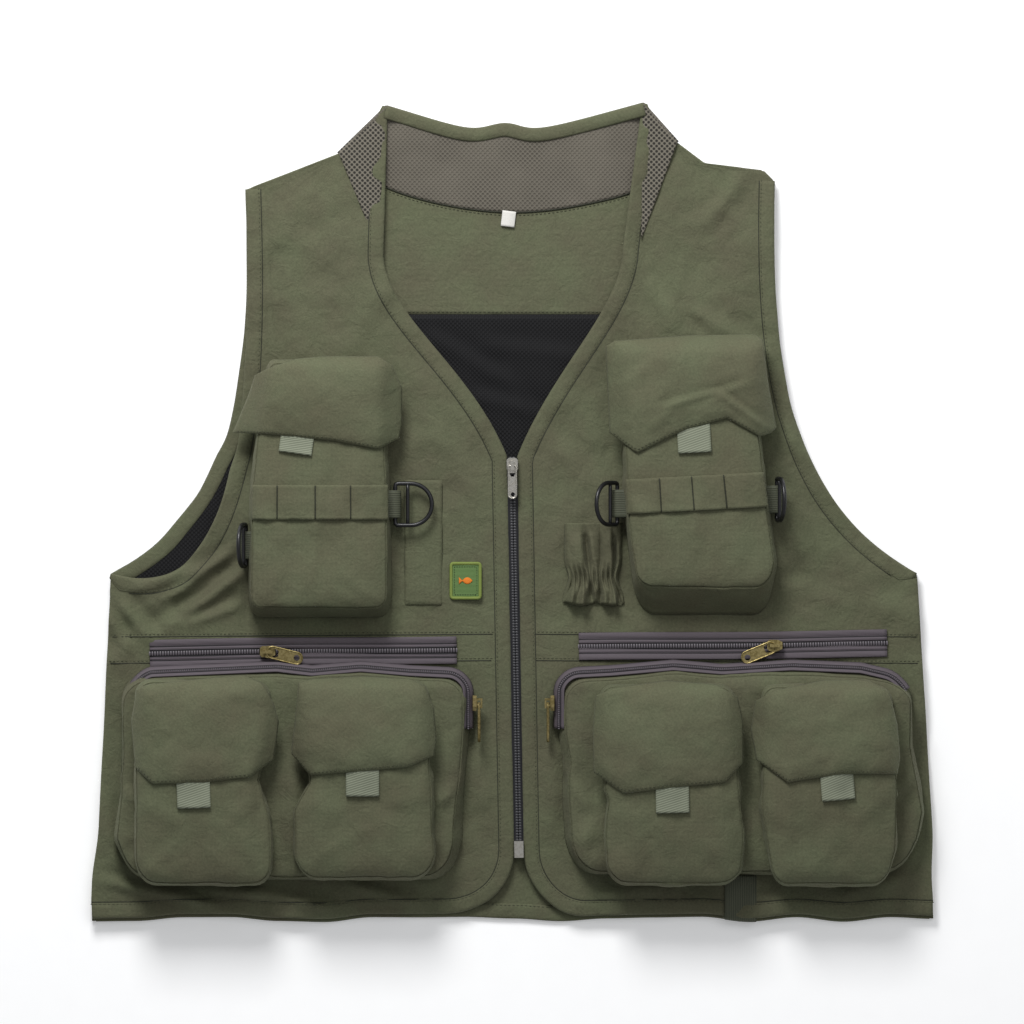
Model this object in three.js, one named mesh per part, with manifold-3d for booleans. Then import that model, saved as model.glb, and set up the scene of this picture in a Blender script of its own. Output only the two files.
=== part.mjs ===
// A multi-pocket fishing vest, zipped up and lying on its back.
// Millimetres: +X to the wearer's left, +Y to the collar, +Z out of the front.
// The back lies on Z = 0 and the middle of the outline is at X = Y = 0.

import * as THREE from 'three';
import { mergeVertices } from 'three/addons/utils/BufferGeometryUtils.js';
import Module from 'manifold-3d';

const wasm = await Module();
wasm.setup();

// ---- Driving dimensions --------------------------------------------------------------------

const CLEAR = 0.3;              // gap between pieces that meet
const CLOTH = 1.6;              // shell and lining of a body panel
const WALL = 1.4;               // wall of a pocket
const FLAP_CLOTH = 2;           // two plies with a turned edge
const WEB = 1.2;                // webbing, tape and badge cloth
const BODY_GAP = 6;             // air between the back and the front
const ARC_STEPS = 6;            // steps in a rounded corner
const CURVE_STEPS = 14;         // steps in a long curve

// The garment, laid flat
const LENGTH = 589;             // hem of the back to the collar peak
const HEM_WIDTH = 607;
const CHEST_WIDTH = 581;        // armpit to armpit
const ARMPIT_HEIGHT = 250;      // above the hem
const WAIST_HEIGHT = 195;       // seam between upper and lower front
const BACK_SEAM_HEIGHT = 184;   // top of the lower back panel
const YOKE_DROP = 152;          // bottom of the back yoke, below the collar peak
const FRONT_HEM_RISE = 3.5;     // the front is cut this much shorter than the back
const FRONT_CORNER = 48;        // radius of the front's lower corners
const SIDE_CORNER = 8;          // radius of the hem corners at the side seams
const SEAM_RETURN = CLOTH;      // thickness of the fold that closes a side or a shoulder
const FACING = 10.5;            // facing along the front edges and the neck
const BINDING = 9;              // binding of armholes and collar

// Front zip
const ZIP_LENGTH = 288;
const ZIP_START = 45.5;         // above the hem
const ZIP_SHIFT = 5;            // its lower end lies this much to the wearer's left
const ZIP_MIDDLE = 1.5;         // X of its middle
const ZIP_REVEAL = 3.6;         // half the gap between the facings
const COIL_HEIGHT = 1.2;
const STOP = { width: 7.4, length: 12, height: 2.4 };

// Waist zips
const WAIST_TAPE = 20;
const WAIST_COIL = 5;

// Pockets
const CARGO_DEPTH = 20;
const CARGO_CORNER = 16;
const CARGO_TAPE = 8.4;         // width of the zip tape round the pocket
const CARGO_COIL = 3;
const CARGO_COIL_RISE = 1.4;
const SMALL_DEPTH = 22;
const CHEST_DEPTH = 28;
const POCKET_CORNER = 12;
const MOUTH = 18;               // length of the mouth under a flap
const TAB = { width: 25, length: 18 };
const LOOP_STRIP = 25;          // width of the loop strip across a chest pocket
const STRIP_INSET = 1;          // its ends from the pocket's sides
const FLAP_OVERHANG = 2.5;      // a small pocket's flap past its sides
const TOOL_DEPTH = 6.2;
const ELASTIC_DEPTH = 7;

// Metal and plastic hardware
const SLIDER = { width: 8, length: 11, base: 2.7, bail: 2.6, bore: 1.2 };
const PULL = { thickness: 1.3, bar: 0.7, ring: 8 };
const D_RING = { reach: 28, height: 33, bar: 3, thickness: 3, slot: 9 };
const D_RING_RISE = 10.5;       // hinge line above the front
const WEB_LOOP = { length: 20, bore: 2.4, wall: 1.4 };

// Levels that follow
const TOP = LENGTH / 2;
const HEM = -LENGTH / 2;
const FRONT_HEM = HEM + FRONT_HEM_RISE;
const FRONT_Z = CLOTH + BODY_GAP;
const ON_FRONT = FRONT_Z + CLOTH + CLEAR;
const COIL_TOP = FRONT_Z + CLOTH + COIL_HEIGHT;
const ZIP_BOTTOM = HEM + ZIP_START;
const ZIP_TOP = ZIP_BOTTOM + ZIP_LENGTH;
const ZIP_Y = (ZIP_BOTTOM + ZIP_TOP) / 2;
const ZIP_SLOPE = ZIP_SHIFT / ZIP_LENGTH;
const ON_CARGO = ON_FRONT + CARGO_DEPTH + CLEAR;

// What differs between the two sides. Distances across are measured outwards from X = 0,
// heights upwards from the hem, drops downwards from the collar peak.
const SIDES = [
  {
    name: 'right', out: -1,
    peak: { across: 91, drop: 2 },
    gusset: { across: 96, drop: 104 },
    neck: { across: 94, drop: 110, lower: [26, 66], upper: [2, 44] },
    shoulder: [[126, 36], [193, 62]],
    armhole: { upper: [5, 142], lower: [98, -29] },
    waistZip: { inner: 41, outer: 262, height: 194, slider: 177, pullTurn: 78 },
    cargo: { inner: 31, outer: 285, bottom: 29.5, top: 182, zipEnd: 138.5, slider: 157 },
    small: [
      { name: 'rear', inner: 168, outer: 274, top: 175, flap: 75, bottom: 26, tab: 229 },
      { name: 'fore', inner: 55, outer: 159, top: 175, flap: 69, bottom: 30, tab: 108 },
    ],
    chest: {
      inner: 87.5, outer: 190, bottom: 218.5, top: 406.5, flap: 65,
      flapInner: 79, flapOuter: 202, strip: 301.5, tab: 155,
      rings: [
        { name: 'inner', edge: 'inner', height: 300, tilt: 0 },
        { name: 'outer', edge: 'outer', height: 270.5, tilt: 80 },
      ],
    },
  },
  {
    name: 'left', out: 1,
    peak: { across: 93, drop: 0 },
    gusset: { across: 90, drop: 98 },
    neck: { across: 79, drop: 105, lower: [26, 66], upper: [1, 44] },
    shoulder: [[118, 28], [138, 43], [180, 48], [188, 56]],
    armhole: { upper: [4, 139], lower: [90, 50] },
    waistZip: { inner: 47, outer: 269, height: 198.5, slider: 188, pullTurn: -66 },
    cargo: { inner: 31, outer: 293, bottom: 33.5, top: 182, zipEnd: 138.5, slider: 157 },
    small: [
      { name: 'fore', inner: 56.5, outer: 164.5, top: 172, flap: 79, bottom: 26, tab: 113.5 },
      { name: 'rear', inner: 170, outer: 277, top: 171, flap: 70, bottom: 25.5, tab: 231 },
    ],
    chest: {
      inner: 77, outer: 187, bottom: 220.5, top: 418.5, flap: 79,
      flapInner: 67, flapOuter: 189, strip: 308, tab: 129,
      rings: [
        { name: 'inner', edge: 'inner', height: 300.5, tilt: 55 },
        { name: 'outer', edge: 'outer', height: 303.5, tilt: 80 },
      ],
    },
  },
];
const BACK_ARMHOLE = { upper: [4, 139], lower: [90, 50] };
const COLLAR_EDGE = [[-35, 17.5], [-6, 14.5], [23, 17.5]];            // across, drop
const COLLAR_SEAM = [[95, 59], [50, 73], [0, 78.5], [-50, 73], [-95, 59]];
const TOOL_POCKET = { side: 0, inner: 51, outer: 79, bottom: 226.5, top: 317.5 };
const ELASTIC_POCKET = { side: 1, inner: 36, outer: 76, bottom: 226.5, top: 287.5 };
const BADGE = { side: 0, inner: 23, outer: 46, bottom: 231.5, top: 258.5 };
const HEM_LOOP = { side: 1, inner: 152, outer: 175 };

// ---- Solids --------------------------------------------------------------------------------

const vec = ([x, y]) => new THREE.Vector2(x, y);

function solidOf(geometry) {
  geometry.deleteAttribute('normal');
  geometry.deleteAttribute('uv');
  const merged = mergeVertices(geometry);
  return new wasm.Manifold(new wasm.Mesh({
    numProp: 3,
    vertProperties: merged.attributes.position.array,
    triVerts: Uint32Array.from(merged.index.array),
  }));
}

function geometryOf(solid) {
  const { vertProperties, triVerts } = solid.getMesh();
  const geometry = new THREE.BufferGeometry();
  geometry.setAttribute('position', new THREE.BufferAttribute(vertProperties, 3));
  geometry.setIndex(new THREE.BufferAttribute(triVerts, 1));
  geometry.computeVertexNormals();
  return geometry;
}

function extruded(shape, low, high, matrix = new THREE.Matrix4()) {
  const options = { depth: high - low, bevelEnabled: false, curveSegments: ARC_STEPS };
  const geometry = new THREE.ExtrudeGeometry(shape, options);
  return solidOf(geometry.translate(0, 0, low).applyMatrix4(matrix));
}

// An outline of [across, y] points on one side of the vest, extruded from low to high.
function prism(side, outline, low, high) {
  const shape = new THREE.Shape(outline.map(([across, y]) => vec([side.out * across, y])));
  return extruded(shape, low, high);
}

function block(x, y, z) {
  const geometry = new THREE.BoxGeometry(x[1] - x[0], y[1] - y[0], z[1] - z[0]);
  return solidOf(geometry.translate((x[0] + x[1]) / 2, (y[0] + y[1]) / 2, (z[0] + z[1]) / 2));
}

function joined(...solids) {
  return solids.reduce((whole, solid) => whole.add(solid));
}

// ---- Outlines ------------------------------------------------------------------------------

function bezier(from, handleA, handleB, to, steps = CURVE_STEPS) {
  const curve = new THREE.CubicBezierCurve(vec(from), vec(handleA), vec(handleB), vec(to));
  return curve.getPoints(steps).map((p) => [p.x, p.y]);
}

function spline(points, steps = CURVE_STEPS) {
  return new THREE.SplineCurve(points.map(vec)).getPoints(steps).map((p) => [p.x, p.y]);
}

function arc(centre, radius, from, to) {
  const points = [];
  for (let i = 0; i <= ARC_STEPS; i += 1) {
    const angle = THREE.MathUtils.degToRad(from + (to - from) * i / ARC_STEPS);
    points.push([centre[0] + radius * Math.cos(angle), centre[1] + radius * Math.sin(angle)]);
  }
  return points;
}

// The same line moved sideways, to the left of its direction for a positive distance.
function beside(points, distance) {
  return points.map(([x, y], i) => {
    const before = points[Math.max(i - 1, 0)];
    const after = points[Math.min(i + 1, points.length - 1)];
    const along = vec([after[0] - before[0], after[1] - before[1]]).normalize();
    return [x - along.y * distance, y + along.x * distance];
  });
}

// The band between a line moved by near and the same line moved by far.
function band(points, near, far) {
  return [...beside(points, near), ...beside(points, far).reverse()];
}

function rectangle(inner, outer, bottom, top) {
  return [[inner, bottom], [outer, bottom], [outer, top], [inner, top]];
}

function roundedBox(inner, outer, bottom, top, radius) {
  return [
    ...arc([outer - radius, bottom + radius], radius, -90, 0),
    ...arc([outer - radius, top - radius], radius, 0, 90),
    ...arc([inner + radius, top - radius], radius, 90, 180),
    ...arc([inner + radius, bottom + radius], radius, 180, 270),
  ];
}

const zipX = (y) => ZIP_MIDDLE - (y - ZIP_Y) * ZIP_SLOPE;
const frontEdge = (side, y) => side.out * zipX(y) + ZIP_REVEAL;
const between = (a, b, share) => a.map((value, i) => value + (b[i] - value) * share);
const fromPeak = ([across, drop]) => [across, TOP - drop];
const peakOf = (side) => fromPeak([side.peak.across, side.peak.drop]);
const shoulderOf = (side) => side.shoulder.map(fromPeak);
const armpit = [CHEST_WIDTH / 2, HEM + ARMPIT_HEIGHT];

// Front edge from the hem round the lower corner, up beside the zip and along the neck to the peak.
function frontEdgeLine(side) {
  const cornerY = FRONT_HEM + FRONT_CORNER;
  const cornerX = frontEdge(side, cornerY) + FRONT_CORNER;
  const zipEnd = [frontEdge(side, ZIP_TOP), ZIP_TOP];
  const neck = fromPeak([side.neck.across, side.neck.drop]);
  const [lower, upper] = [side.neck.lower, side.neck.upper];
  return [
    ...arc([cornerX, cornerY], FRONT_CORNER, 270, 180),
    ...bezier(zipEnd, [zipEnd[0] + lower[0], zipEnd[1] + lower[1]],
      [neck[0] - upper[0], neck[1] - upper[1]], neck),
    peakOf(side),
  ];
}

function armholeLine(side, { upper, lower }) {
  const tip = shoulderOf(side).at(-1);
  return bezier(tip, [tip[0] - upper[0], tip[1] - upper[1]],
    [armpit[0] - lower[0], armpit[1] + lower[1]], armpit);
}

function sideLine(hem) {
  const corner = [HEM_WIDTH / 2 - SIDE_CORNER, hem + SIDE_CORNER];
  return [armpit, ...arc(corner, SIDE_CORNER, 0, -90)];
}

// ---- Body panels ---------------------------------------------------------------------------

function slab(bottom, top) {
  return block([-HEM_WIDTH, HEM_WIDTH], [bottom, top], [-BODY_GAP, FRONT_Z + CLOTH + BODY_GAP]);
}

function backPanels() {
  const [right, left] = SIDES;
  const flip = ([across, y]) => [-across, y];
  const half = (side) => [
    ...shoulderOf(side),
    ...armholeLine(side, BACK_ARMHOLE).slice(1),
    ...sideLine(HEM).slice(1),
  ];
  const seam = collarSeam().map(([x, y]) => [x, y - CLEAR]);
  const rightHalf = half(right).reverse().map(flip);
  const outline = [...half(left), ...rightHalf, ...seam.reverse().slice(1, -1)];
  const whole = extruded(new THREE.Shape(outline.map(vec)), 0, CLOTH);
  const yokeSeam = TOP - YOKE_DROP;
  const lowerSeam = HEM + BACK_SEAM_HEIGHT;
  return {
    back_yoke: whole.intersect(slab(yokeSeam + CLEAR / 2, TOP)),
    back_mesh_panel: whole.intersect(slab(lowerSeam + CLEAR / 2, yokeSeam - CLEAR / 2)),
    back_lower_panel: whole.intersect(slab(HEM - CLOTH, lowerSeam - CLEAR / 2)),
  };
}

function frontPanels(side) {
  const edge = frontEdgeLine(side);
  const peak = edge.at(-1);
  const hole = armholeLine(side, side.armhole);
  const shoulder = shoulderOf(side);
  const gusset = fromPeak([side.gusset.across, side.gusset.drop]);
  const outline = [
    ...edge.filter((point) => point !== peak && point[1] <= gusset[1]),
    gusset,
    ...shoulder,
    ...hole.slice(1),
    ...sideLine(FRONT_HEM).slice(1),
  ];
  const seam = sideLine(FRONT_HEM);
  const sideFold = [between(seam[0], seam[1], 0.05), ...seam.slice(1, -2)];
  const ridge = [...shoulder.slice(0, -1), between(shoulder.at(-2), shoulder.at(-1), 0.5)];
  const foldLow = CLOTH + CLEAR;
  const top = FRONT_Z + CLOTH;
  const whole = joined(
    prism(side, outline, FRONT_Z, top),
    prism(side, band(sideFold, 0, -SEAM_RETURN), foldLow, top),
    prism(side, band(ridge, 0, -SEAM_RETURN), foldLow, top),
  );
  const trimmed = whole
    .subtract(prism(side, band(edge, CLEAR, -FACING - CLEAR), FRONT_Z - CLEAR, top + CLEAR))
    .subtract(prism(side, band(hole, CLEAR, -BINDING - CLEAR), FRONT_Z - CLEAR, top + CLEAR));
  const waist = HEM + WAIST_HEIGHT;
  return {
    [`${side.name}_front_upper`]: trimmed.intersect(slab(waist + CLEAR / 2, TOP)),
    [`${side.name}_front_lower`]: trimmed.intersect(slab(HEM, waist - CLEAR / 2)),
    [`${side.name}_facing`]: prism(side, band(edge, 0, -FACING), FRONT_Z, top),
    [`${side.name}_armhole_binding`]: prism(side, band(hole, 0, -BINDING), FRONT_Z, top),
  };
}

// ---- Collar --------------------------------------------------------------------------------

function collarSeam() {
  const [right, left] = SIDES;
  const ends = [shoulderOf(left)[0], shoulderOf(right)[0]];
  const middle = COLLAR_SEAM.map(fromPeak);
  return spline([ends[0], ...middle, [-ends[1][0], ends[1][1]]]);
}

function collarEdge() {
  const [right, left] = SIDES;
  const start = peakOf(right);
  return spline([[-start[0], start[1]], ...COLLAR_EDGE.map(fromPeak), peakOf(left)]);
}

// The back band, the two triangles that fold over to the front, and the folds between them.
function collarMesh() {
  const outline = [...collarEdge(), ...collarSeam()].map(vec);
  const back = extruded(new THREE.Shape(outline), 0, CLOTH);
  const ends = SIDES.map((side) => {
    const peak = peakOf(side);
    const shoulder = shoulderOf(side)[0];
    const gusset = fromPeak([side.gusset.across, side.gusset.drop]);
    const inset = 2 * CLEAR;
    const fold = [peak, [shoulder[0] - inset, shoulder[1]]];
    const triangle = [peak, fold[1], [gusset[0] - inset, gusset[1]]];
    const facing = band(frontEdgeLine(side), 2 * FACING, -FACING - CLEAR);
    const front = prism(side, triangle, FRONT_Z, FRONT_Z + CLOTH)
      .subtract(prism(side, facing, FRONT_Z - CLEAR, FRONT_Z + CLOTH + CLEAR));
    const wall = prism(side, band(fold, 0, -SEAM_RETURN), 0, FRONT_Z + CLOTH)
      .subtract(prism(side, facing, FRONT_Z - CLEAR, FRONT_Z + CLOTH + CLEAR));
    return joined(front, wall);
  });
  return joined(back, ...ends);
}

function collarBinding() {
  const edge = collarEdge().slice(1, -1);
  const shape = new THREE.Shape(band(edge, 0, -BINDING).map(vec));
  return extruded(shape, CLOTH + CLEAR, CLOTH + CLEAR + WEB);
}

// ---- Zips ----------------------------------------------------------------------------------

// A slider on a coil that runs along Y. Its underside is at Z = CLEAR and it ends in a bail.
function slider() {
  const { width, length, base, bail, bore } = SLIDER;
  const middle = CLEAR + base + bore + 0.6;
  const high = middle + bore + 1.2;
  const arch = new THREE.Shape([[-3.6, base], [3.6, base], [3.6, high], [-3.6, high]].map(vec));
  arch.holes.push(new THREE.Path([[-2, -bore], [-2, bore], [2, bore], [2, -bore]]
    .map(([y, z]) => vec([y, middle + z]))));
  const upright = new THREE.Matrix4().makeBasis(
    new THREE.Vector3(0, 1, 0), new THREE.Vector3(0, 0, 1), new THREE.Vector3(1, 0, 0));
  const body = new THREE.Shape([
    [-width / 2 + 1.5, -length / 2], [width / 2 - 1.5, -length / 2], [width / 2, -length / 2 + 3],
    [width / 2, length / 2 - 1.5], [width / 2 - 1.5, length / 2], [-width / 2 + 1.5, length / 2],
    [-width / 2, length / 2 - 1.5], [-width / 2, -length / 2 + 3],
  ].map(vec));
  return joined(extruded(body, CLEAR, CLEAR + base), extruded(arch, -bail / 2, bail / 2, upright));
}

const PULL_AXIS = CLEAR + SLIDER.base + SLIDER.bore + 0.6;

// A pull that hangs along -Y from the bail, with its hinge line along X through the origin.
function pull(width, length, ringHalf) {
  const { thickness, bar, ring } = PULL;
  const half = width / 2;
  const shape = new THREE.Shape([
    [-ringHalf - 1.4, bar], [-ringHalf - 1.4, -ring + 2], [-half, -ring - 1],
    ...arc([0, -length + half], half, 180, 360), [half, -ring - 1],
    [ringHalf + 1.4, -ring + 2], [ringHalf + 1.4, bar],
  ].map(vec));
  shape.holes.push(new THREE.Path([[-ringHalf, -bar], [ringHalf, -bar], [ringHalf, -ring + 2],
    [ringHalf - 1, -ring], [1 - ringHalf, -ring], [-ringHalf, -ring + 2]].map(vec)));
  shape.holes.push(new THREE.Path(arc([0, -length + half], half * 0.5, 0, 300).map(vec)));
  return extruded(shape, -thickness / 2, thickness / 2);
}

function frontZip() {
  const group = new THREE.Group();
  group.position.set(ZIP_MIDDLE, ZIP_Y, 0);
  group.rotation.z = Math.atan(ZIP_SLOPE);
  const half = ZIP_LENGTH / 2;
  const stopTop = -half + STOP.length;
  for (const side of SIDES) {
    const tape = [CLEAR / 2, ZIP_REVEAL - CLEAR].map((x) => side.out * x).sort((a, b) => a - b);
    const coil = [CLEAR / 2, ZIP_REVEAL - 1].map((x) => side.out * x).sort((a, b) => a - b);
    const reach = [stopTop + CLEAR, half];
    group.add(piece(`${side.name}_front_zip_half`, ZIP_BLACK, joined(
      block(tape, reach, [FRONT_Z, FRONT_Z + CLOTH]),
      block(coil, reach, [FRONT_Z, COIL_TOP]),
    )));
  }
  const stop = block([-ZIP_REVEAL + CLEAR, ZIP_REVEAL - CLEAR], [-half, stopTop],
    [FRONT_Z, FRONT_Z + CLOTH + STOP.height]);
  group.add(piece('front_zip_retainer_box', NICKEL, stop));
  const sliderMesh = piece('front_zip_slider', NICKEL, slider());
  sliderMesh.position.set(0, half - SLIDER.length / 2, COIL_TOP);
  const pullMesh = piece('front_zip_pull', NICKEL, pull(6.4, 24, 2));
  pullMesh.position.set(0, half - SLIDER.length / 2, COIL_TOP + PULL_AXIS);
  group.add(sliderMesh, pullMesh);
  return group;
}

function waistZip(side) {
  const { inner, outer, height, slider: across, pullTurn } = side.waistZip;
  const group = new THREE.Group();
  const y = HEM + height;
  const x = [side.out * inner, side.out * outer].sort((a, b) => a - b);
  const tapeTop = ON_FRONT + WEB;
  group.add(piece(`${side.name}_waist_zip`, ZIP_GREY, joined(
    block(x, [y - WAIST_TAPE / 2, y + WAIST_TAPE / 2], [ON_FRONT, tapeTop]),
    block(x, [y - WAIST_COIL / 2, y + WAIST_COIL / 2], [ON_FRONT, tapeTop + COIL_HEIGHT]),
  )));
  const sliderMesh = piece(`${side.name}_waist_zip_slider`, BRASS, slider());
  sliderMesh.position.set(side.out * across, y, tapeTop + COIL_HEIGHT);
  sliderMesh.rotation.z = Math.PI / 2;
  const pullMesh = piece(`${side.name}_waist_zip_pull`, BRASS, pull(9, 26, 3));
  pullMesh.position.set(side.out * across, y, tapeTop + COIL_HEIGHT + PULL_AXIS);
  pullMesh.rotation.z = THREE.MathUtils.degToRad(pullTurn);
  group.add(sliderMesh, pullMesh);
  return group;
}

// ---- Pockets -------------------------------------------------------------------------------

// A pocket with a front and four sides, open to the cloth it is sewn on.
function tray(side, { inner, outer, bottom, top }, low, depth, corner) {
  const skin = roundedBox(inner, outer, HEM + bottom, HEM + top, corner);
  const hollow = roundedBox(inner + WALL, outer - WALL, HEM + bottom + WALL, HEM + top - WALL,
    corner - WALL);
  return prism(side, skin, low, low + depth)
    .subtract(prism(side, hollow, low - WALL, low + depth - WALL));
}

// The zip's line, from the outer end of the pocket's top, round its inner corner and down.
function cargoZipLine({ inner, outer, top, zipEnd }) {
  return [
    [outer - 1.5 * CARGO_CORNER, HEM + top],
    ...arc([inner + CARGO_CORNER, HEM + top - CARGO_CORNER], CARGO_CORNER, 90, 180),
    [inner, HEM + zipEnd],
  ];
}

function cargoPocket(side) {
  const group = new THREE.Group();
  const { cargo } = side;
  const line = cargoZipLine(cargo);
  const middle = ON_FRONT + CARGO_DEPTH / 2;
  const tape = [middle - CARGO_TAPE / 2, middle + CARGO_TAPE / 2];
  const coil = [middle - CARGO_COIL / 2, middle + CARGO_COIL / 2];
  const slot = prism(side, band(line, -2 * WALL, 2 * WALL), tape[0] - CLEAR, tape[1] + CLEAR);
  const body = tray(side, cargo, ON_FRONT, CARGO_DEPTH, CARGO_CORNER).subtract(slot);
  group.add(piece(`${side.name}_cargo_pocket`, OLIVE, body));
  const [start, end] = [line[0], line.at(-1)];
  const held = [[start[0] - CLEAR, start[1]], ...line.slice(1, -1), [end[0], end[1] + CLEAR]];
  group.add(piece(`${side.name}_cargo_zip`, ZIP_GREY, joined(
    prism(side, band(held, 0, WALL), ...tape),
    prism(side, band(held, -CARGO_COIL_RISE, WALL), ...coil),
  )));
  const face = side.out * (cargo.inner - CARGO_COIL_RISE);
  const y = HEM + cargo.slider;
  const sliderMesh = piece(`${side.name}_cargo_zip_slider`, BRASS, slider());
  sliderMesh.position.set(face, y, middle);
  sliderMesh.rotation.y = -side.out * Math.PI / 2;
  const pullMesh = piece(`${side.name}_cargo_zip_pull`, BRASS, pull(7, 28, 2));
  pullMesh.position.set(face - side.out * PULL_AXIS, y, middle);
  pullMesh.rotation.y = -side.out * Math.PI / 2;
  group.add(sliderMesh, pullMesh);
  return group;
}

// A flap with cut lower corners, its hinge line along its top edge.
function flap(side, inner, outer, top, length, low) {
  const cut = POCKET_CORNER;
  const bottom = top - length;
  const outline = [[inner, top], [outer, top], [outer, bottom + cut], [outer - cut, bottom],
    [inner + cut, bottom], [inner, bottom + cut]];
  return prism(side, outline, low, low + FLAP_CLOTH);
}

function tab(side, across, top, low) {
  const half = TAB.width / 2;
  return prism(side, rectangle(across - half, across + half, top - TAB.length, top), low, low + WEB);
}

// A pocket body whose mouth lies under its flap, with the flap and its pull tab.
function flapPocket(side, name, pocket, low, depth, flapSpan) {
  const top = HEM + pocket.top;
  const front = low + depth;
  const mouth = rectangle(pocket.inner + POCKET_CORNER, pocket.outer - POCKET_CORNER,
    top - WALL - MOUTH, top - WALL);
  const body = tray(side, pocket, low, depth, POCKET_CORNER)
    .subtract(prism(side, mouth, front - 2 * WALL, front + WALL));
  const lid = front + CLEAR;
  const edge = top - pocket.flap;
  return {
    body, front,
    flap: piece(`${name}_flap`, OLIVE, flap(side, ...flapSpan, top, pocket.flap, lid)),
    tab: piece(`${name}_tab`, WEBBING, tab(side, pocket.tab, edge - CLEAR, lid)),
  };
}

function smallPockets(side) {
  const group = new THREE.Group();
  for (const pocket of side.small) {
    const name = `${side.name}_${pocket.name}_pocket`;
    const { inner, outer } = pocket;
    const narrowed = { ...pocket, inner: inner + FLAP_OVERHANG, outer: outer - FLAP_OVERHANG };
    const made = flapPocket(side, name, narrowed, ON_CARGO, SMALL_DEPTH, [inner, outer]);
    group.add(piece(name, OLIVE, made.body), made.flap, made.tab);
  }
  return group;
}

// A D-ring in the XY plane, its hinge line along Y through its straight bar.
function dRing(out) {
  const { reach, height, bar, thickness, slot } = D_RING;
  const half = height / 2;
  const inside = half - bar;
  const round = reach - bar / 2 - half;
  const flipped = (points) => points.map(([x, y]) => vec([out * x, y]));
  const shape = new THREE.Shape(flipped([[-bar / 2, -half], ...arc([round, 0], half, -90, 90),
    [-bar / 2, half]]));
  const corner = inside - bar / 3;
  const rim = extruded(shape, -thickness / 2, thickness / 2);
  const cutSlot = new THREE.Shape(flipped([[bar / 2, -corner], [slot - bar / 2, -corner],
    [slot - bar / 2, corner], [bar / 2, corner]]));
  const cutRound = new THREE.Shape(flipped([[slot + bar / 2, -corner],
    ...arc([round, 0], inside, -70, 70), [slot + bar / 2, corner]]));
  return rim.subtract(extruded(cutSlot, -thickness, thickness))
    .subtract(extruded(cutRound, -thickness, thickness));
}

// The webbing that holds a D-ring's bar, as a square sleeve along Y with its bore on the origin.
function webLoop(x, y, z, towards) {
  const { length, bore, wall } = WEB_LOOP;
  const far = bore + wall;
  const outer = [x + towards * far, x - towards * (bore + 0.5)].sort((a, b) => a - b);
  return block(outer, [y - length / 2, y + length / 2], [z - far, z + far])
    .subtract(block([x - bore, x + bore], [y - length, y + length], [z - bore, z + bore]));
}

function chestPocket(side) {
  const group = new THREE.Group();
  const { chest } = side;
  const name = `${side.name}_chest_pocket`;
  const made = flapPocket(side, name, chest, ON_FRONT, CHEST_DEPTH, [chest.flapInner, chest.flapOuter]);
  let body = made.body;
  const hingeZ = ON_FRONT + D_RING_RISE;
  for (const ring of chest.rings) {
    const away = ring.edge === 'inner' ? -1 : 1;
    const x = side.out * (chest[ring.edge] + away * WEB_LOOP.bore);
    const y = HEM + ring.height;
    const towards = side.out * away;
    body = joined(body, webLoop(x, y, hingeZ, towards));
    const mesh = piece(`${side.name}_${ring.name}_d_ring`, BLACK_PLASTIC, dRing(towards));
    mesh.position.set(x, y, hingeZ);
    mesh.rotation.y = -towards * THREE.MathUtils.degToRad(ring.tilt);
    group.add(mesh);
  }
  const stripY = HEM + chest.strip;
  const strip = rectangle(chest.inner + STRIP_INSET, chest.outer - STRIP_INSET,
    stripY - LOOP_STRIP / 2, stripY + LOOP_STRIP / 2);
  const onPocket = made.front + CLEAR;
  group.add(
    piece(name, OLIVE, body), made.flap, made.tab,
    piece(`${side.name}_loop_strip`, OLIVE, prism(side, strip, onPocket, onPocket + WEB)),
  );
  return group;
}

function patchPocket(name, pocket, depth) {
  const side = SIDES[pocket.side];
  const body = tray(side, pocket, ON_FRONT, depth, WALL + 1);
  const top = HEM + pocket.top;
  const mouth = rectangle(pocket.inner + WALL, pocket.outer - WALL, top - 2 * WALL, top + WALL);
  const cut = prism(side, mouth, ON_FRONT - WALL, ON_FRONT + depth - WALL);
  return piece(name, OLIVE, body.subtract(cut));
}

function badge() {
  const { side, inner, outer, bottom, top } = BADGE;
  const outline = rectangle(inner, outer, HEM + bottom, HEM + top);
  return piece('badge_patch', BADGE_GREEN, prism(SIDES[side], outline, ON_FRONT, ON_FRONT + WEB));
}

// A webbing loop that runs from under the cargo pocket down the front and turns over its hem.
function hemLoop() {
  const { side, inner, outer } = HEM_LOOP;
  const top = SIDES[side].cargo.bottom - CLEAR;
  const x = [SIDES[side].out * inner, SIDES[side].out * outer].sort((a, b) => a - b);
  const turn = [FRONT_HEM - CLEAR - WEB, FRONT_HEM - CLEAR];
  return piece('hem_loop', OLIVE, joined(
    block(x, [turn[0], HEM + top], [ON_FRONT, ON_FRONT + WEB]),
    block(x, turn, [FRONT_Z, ON_FRONT + WEB]),
  ));
}

// ---- Materials and assembly ----------------------------------------------------------------

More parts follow.
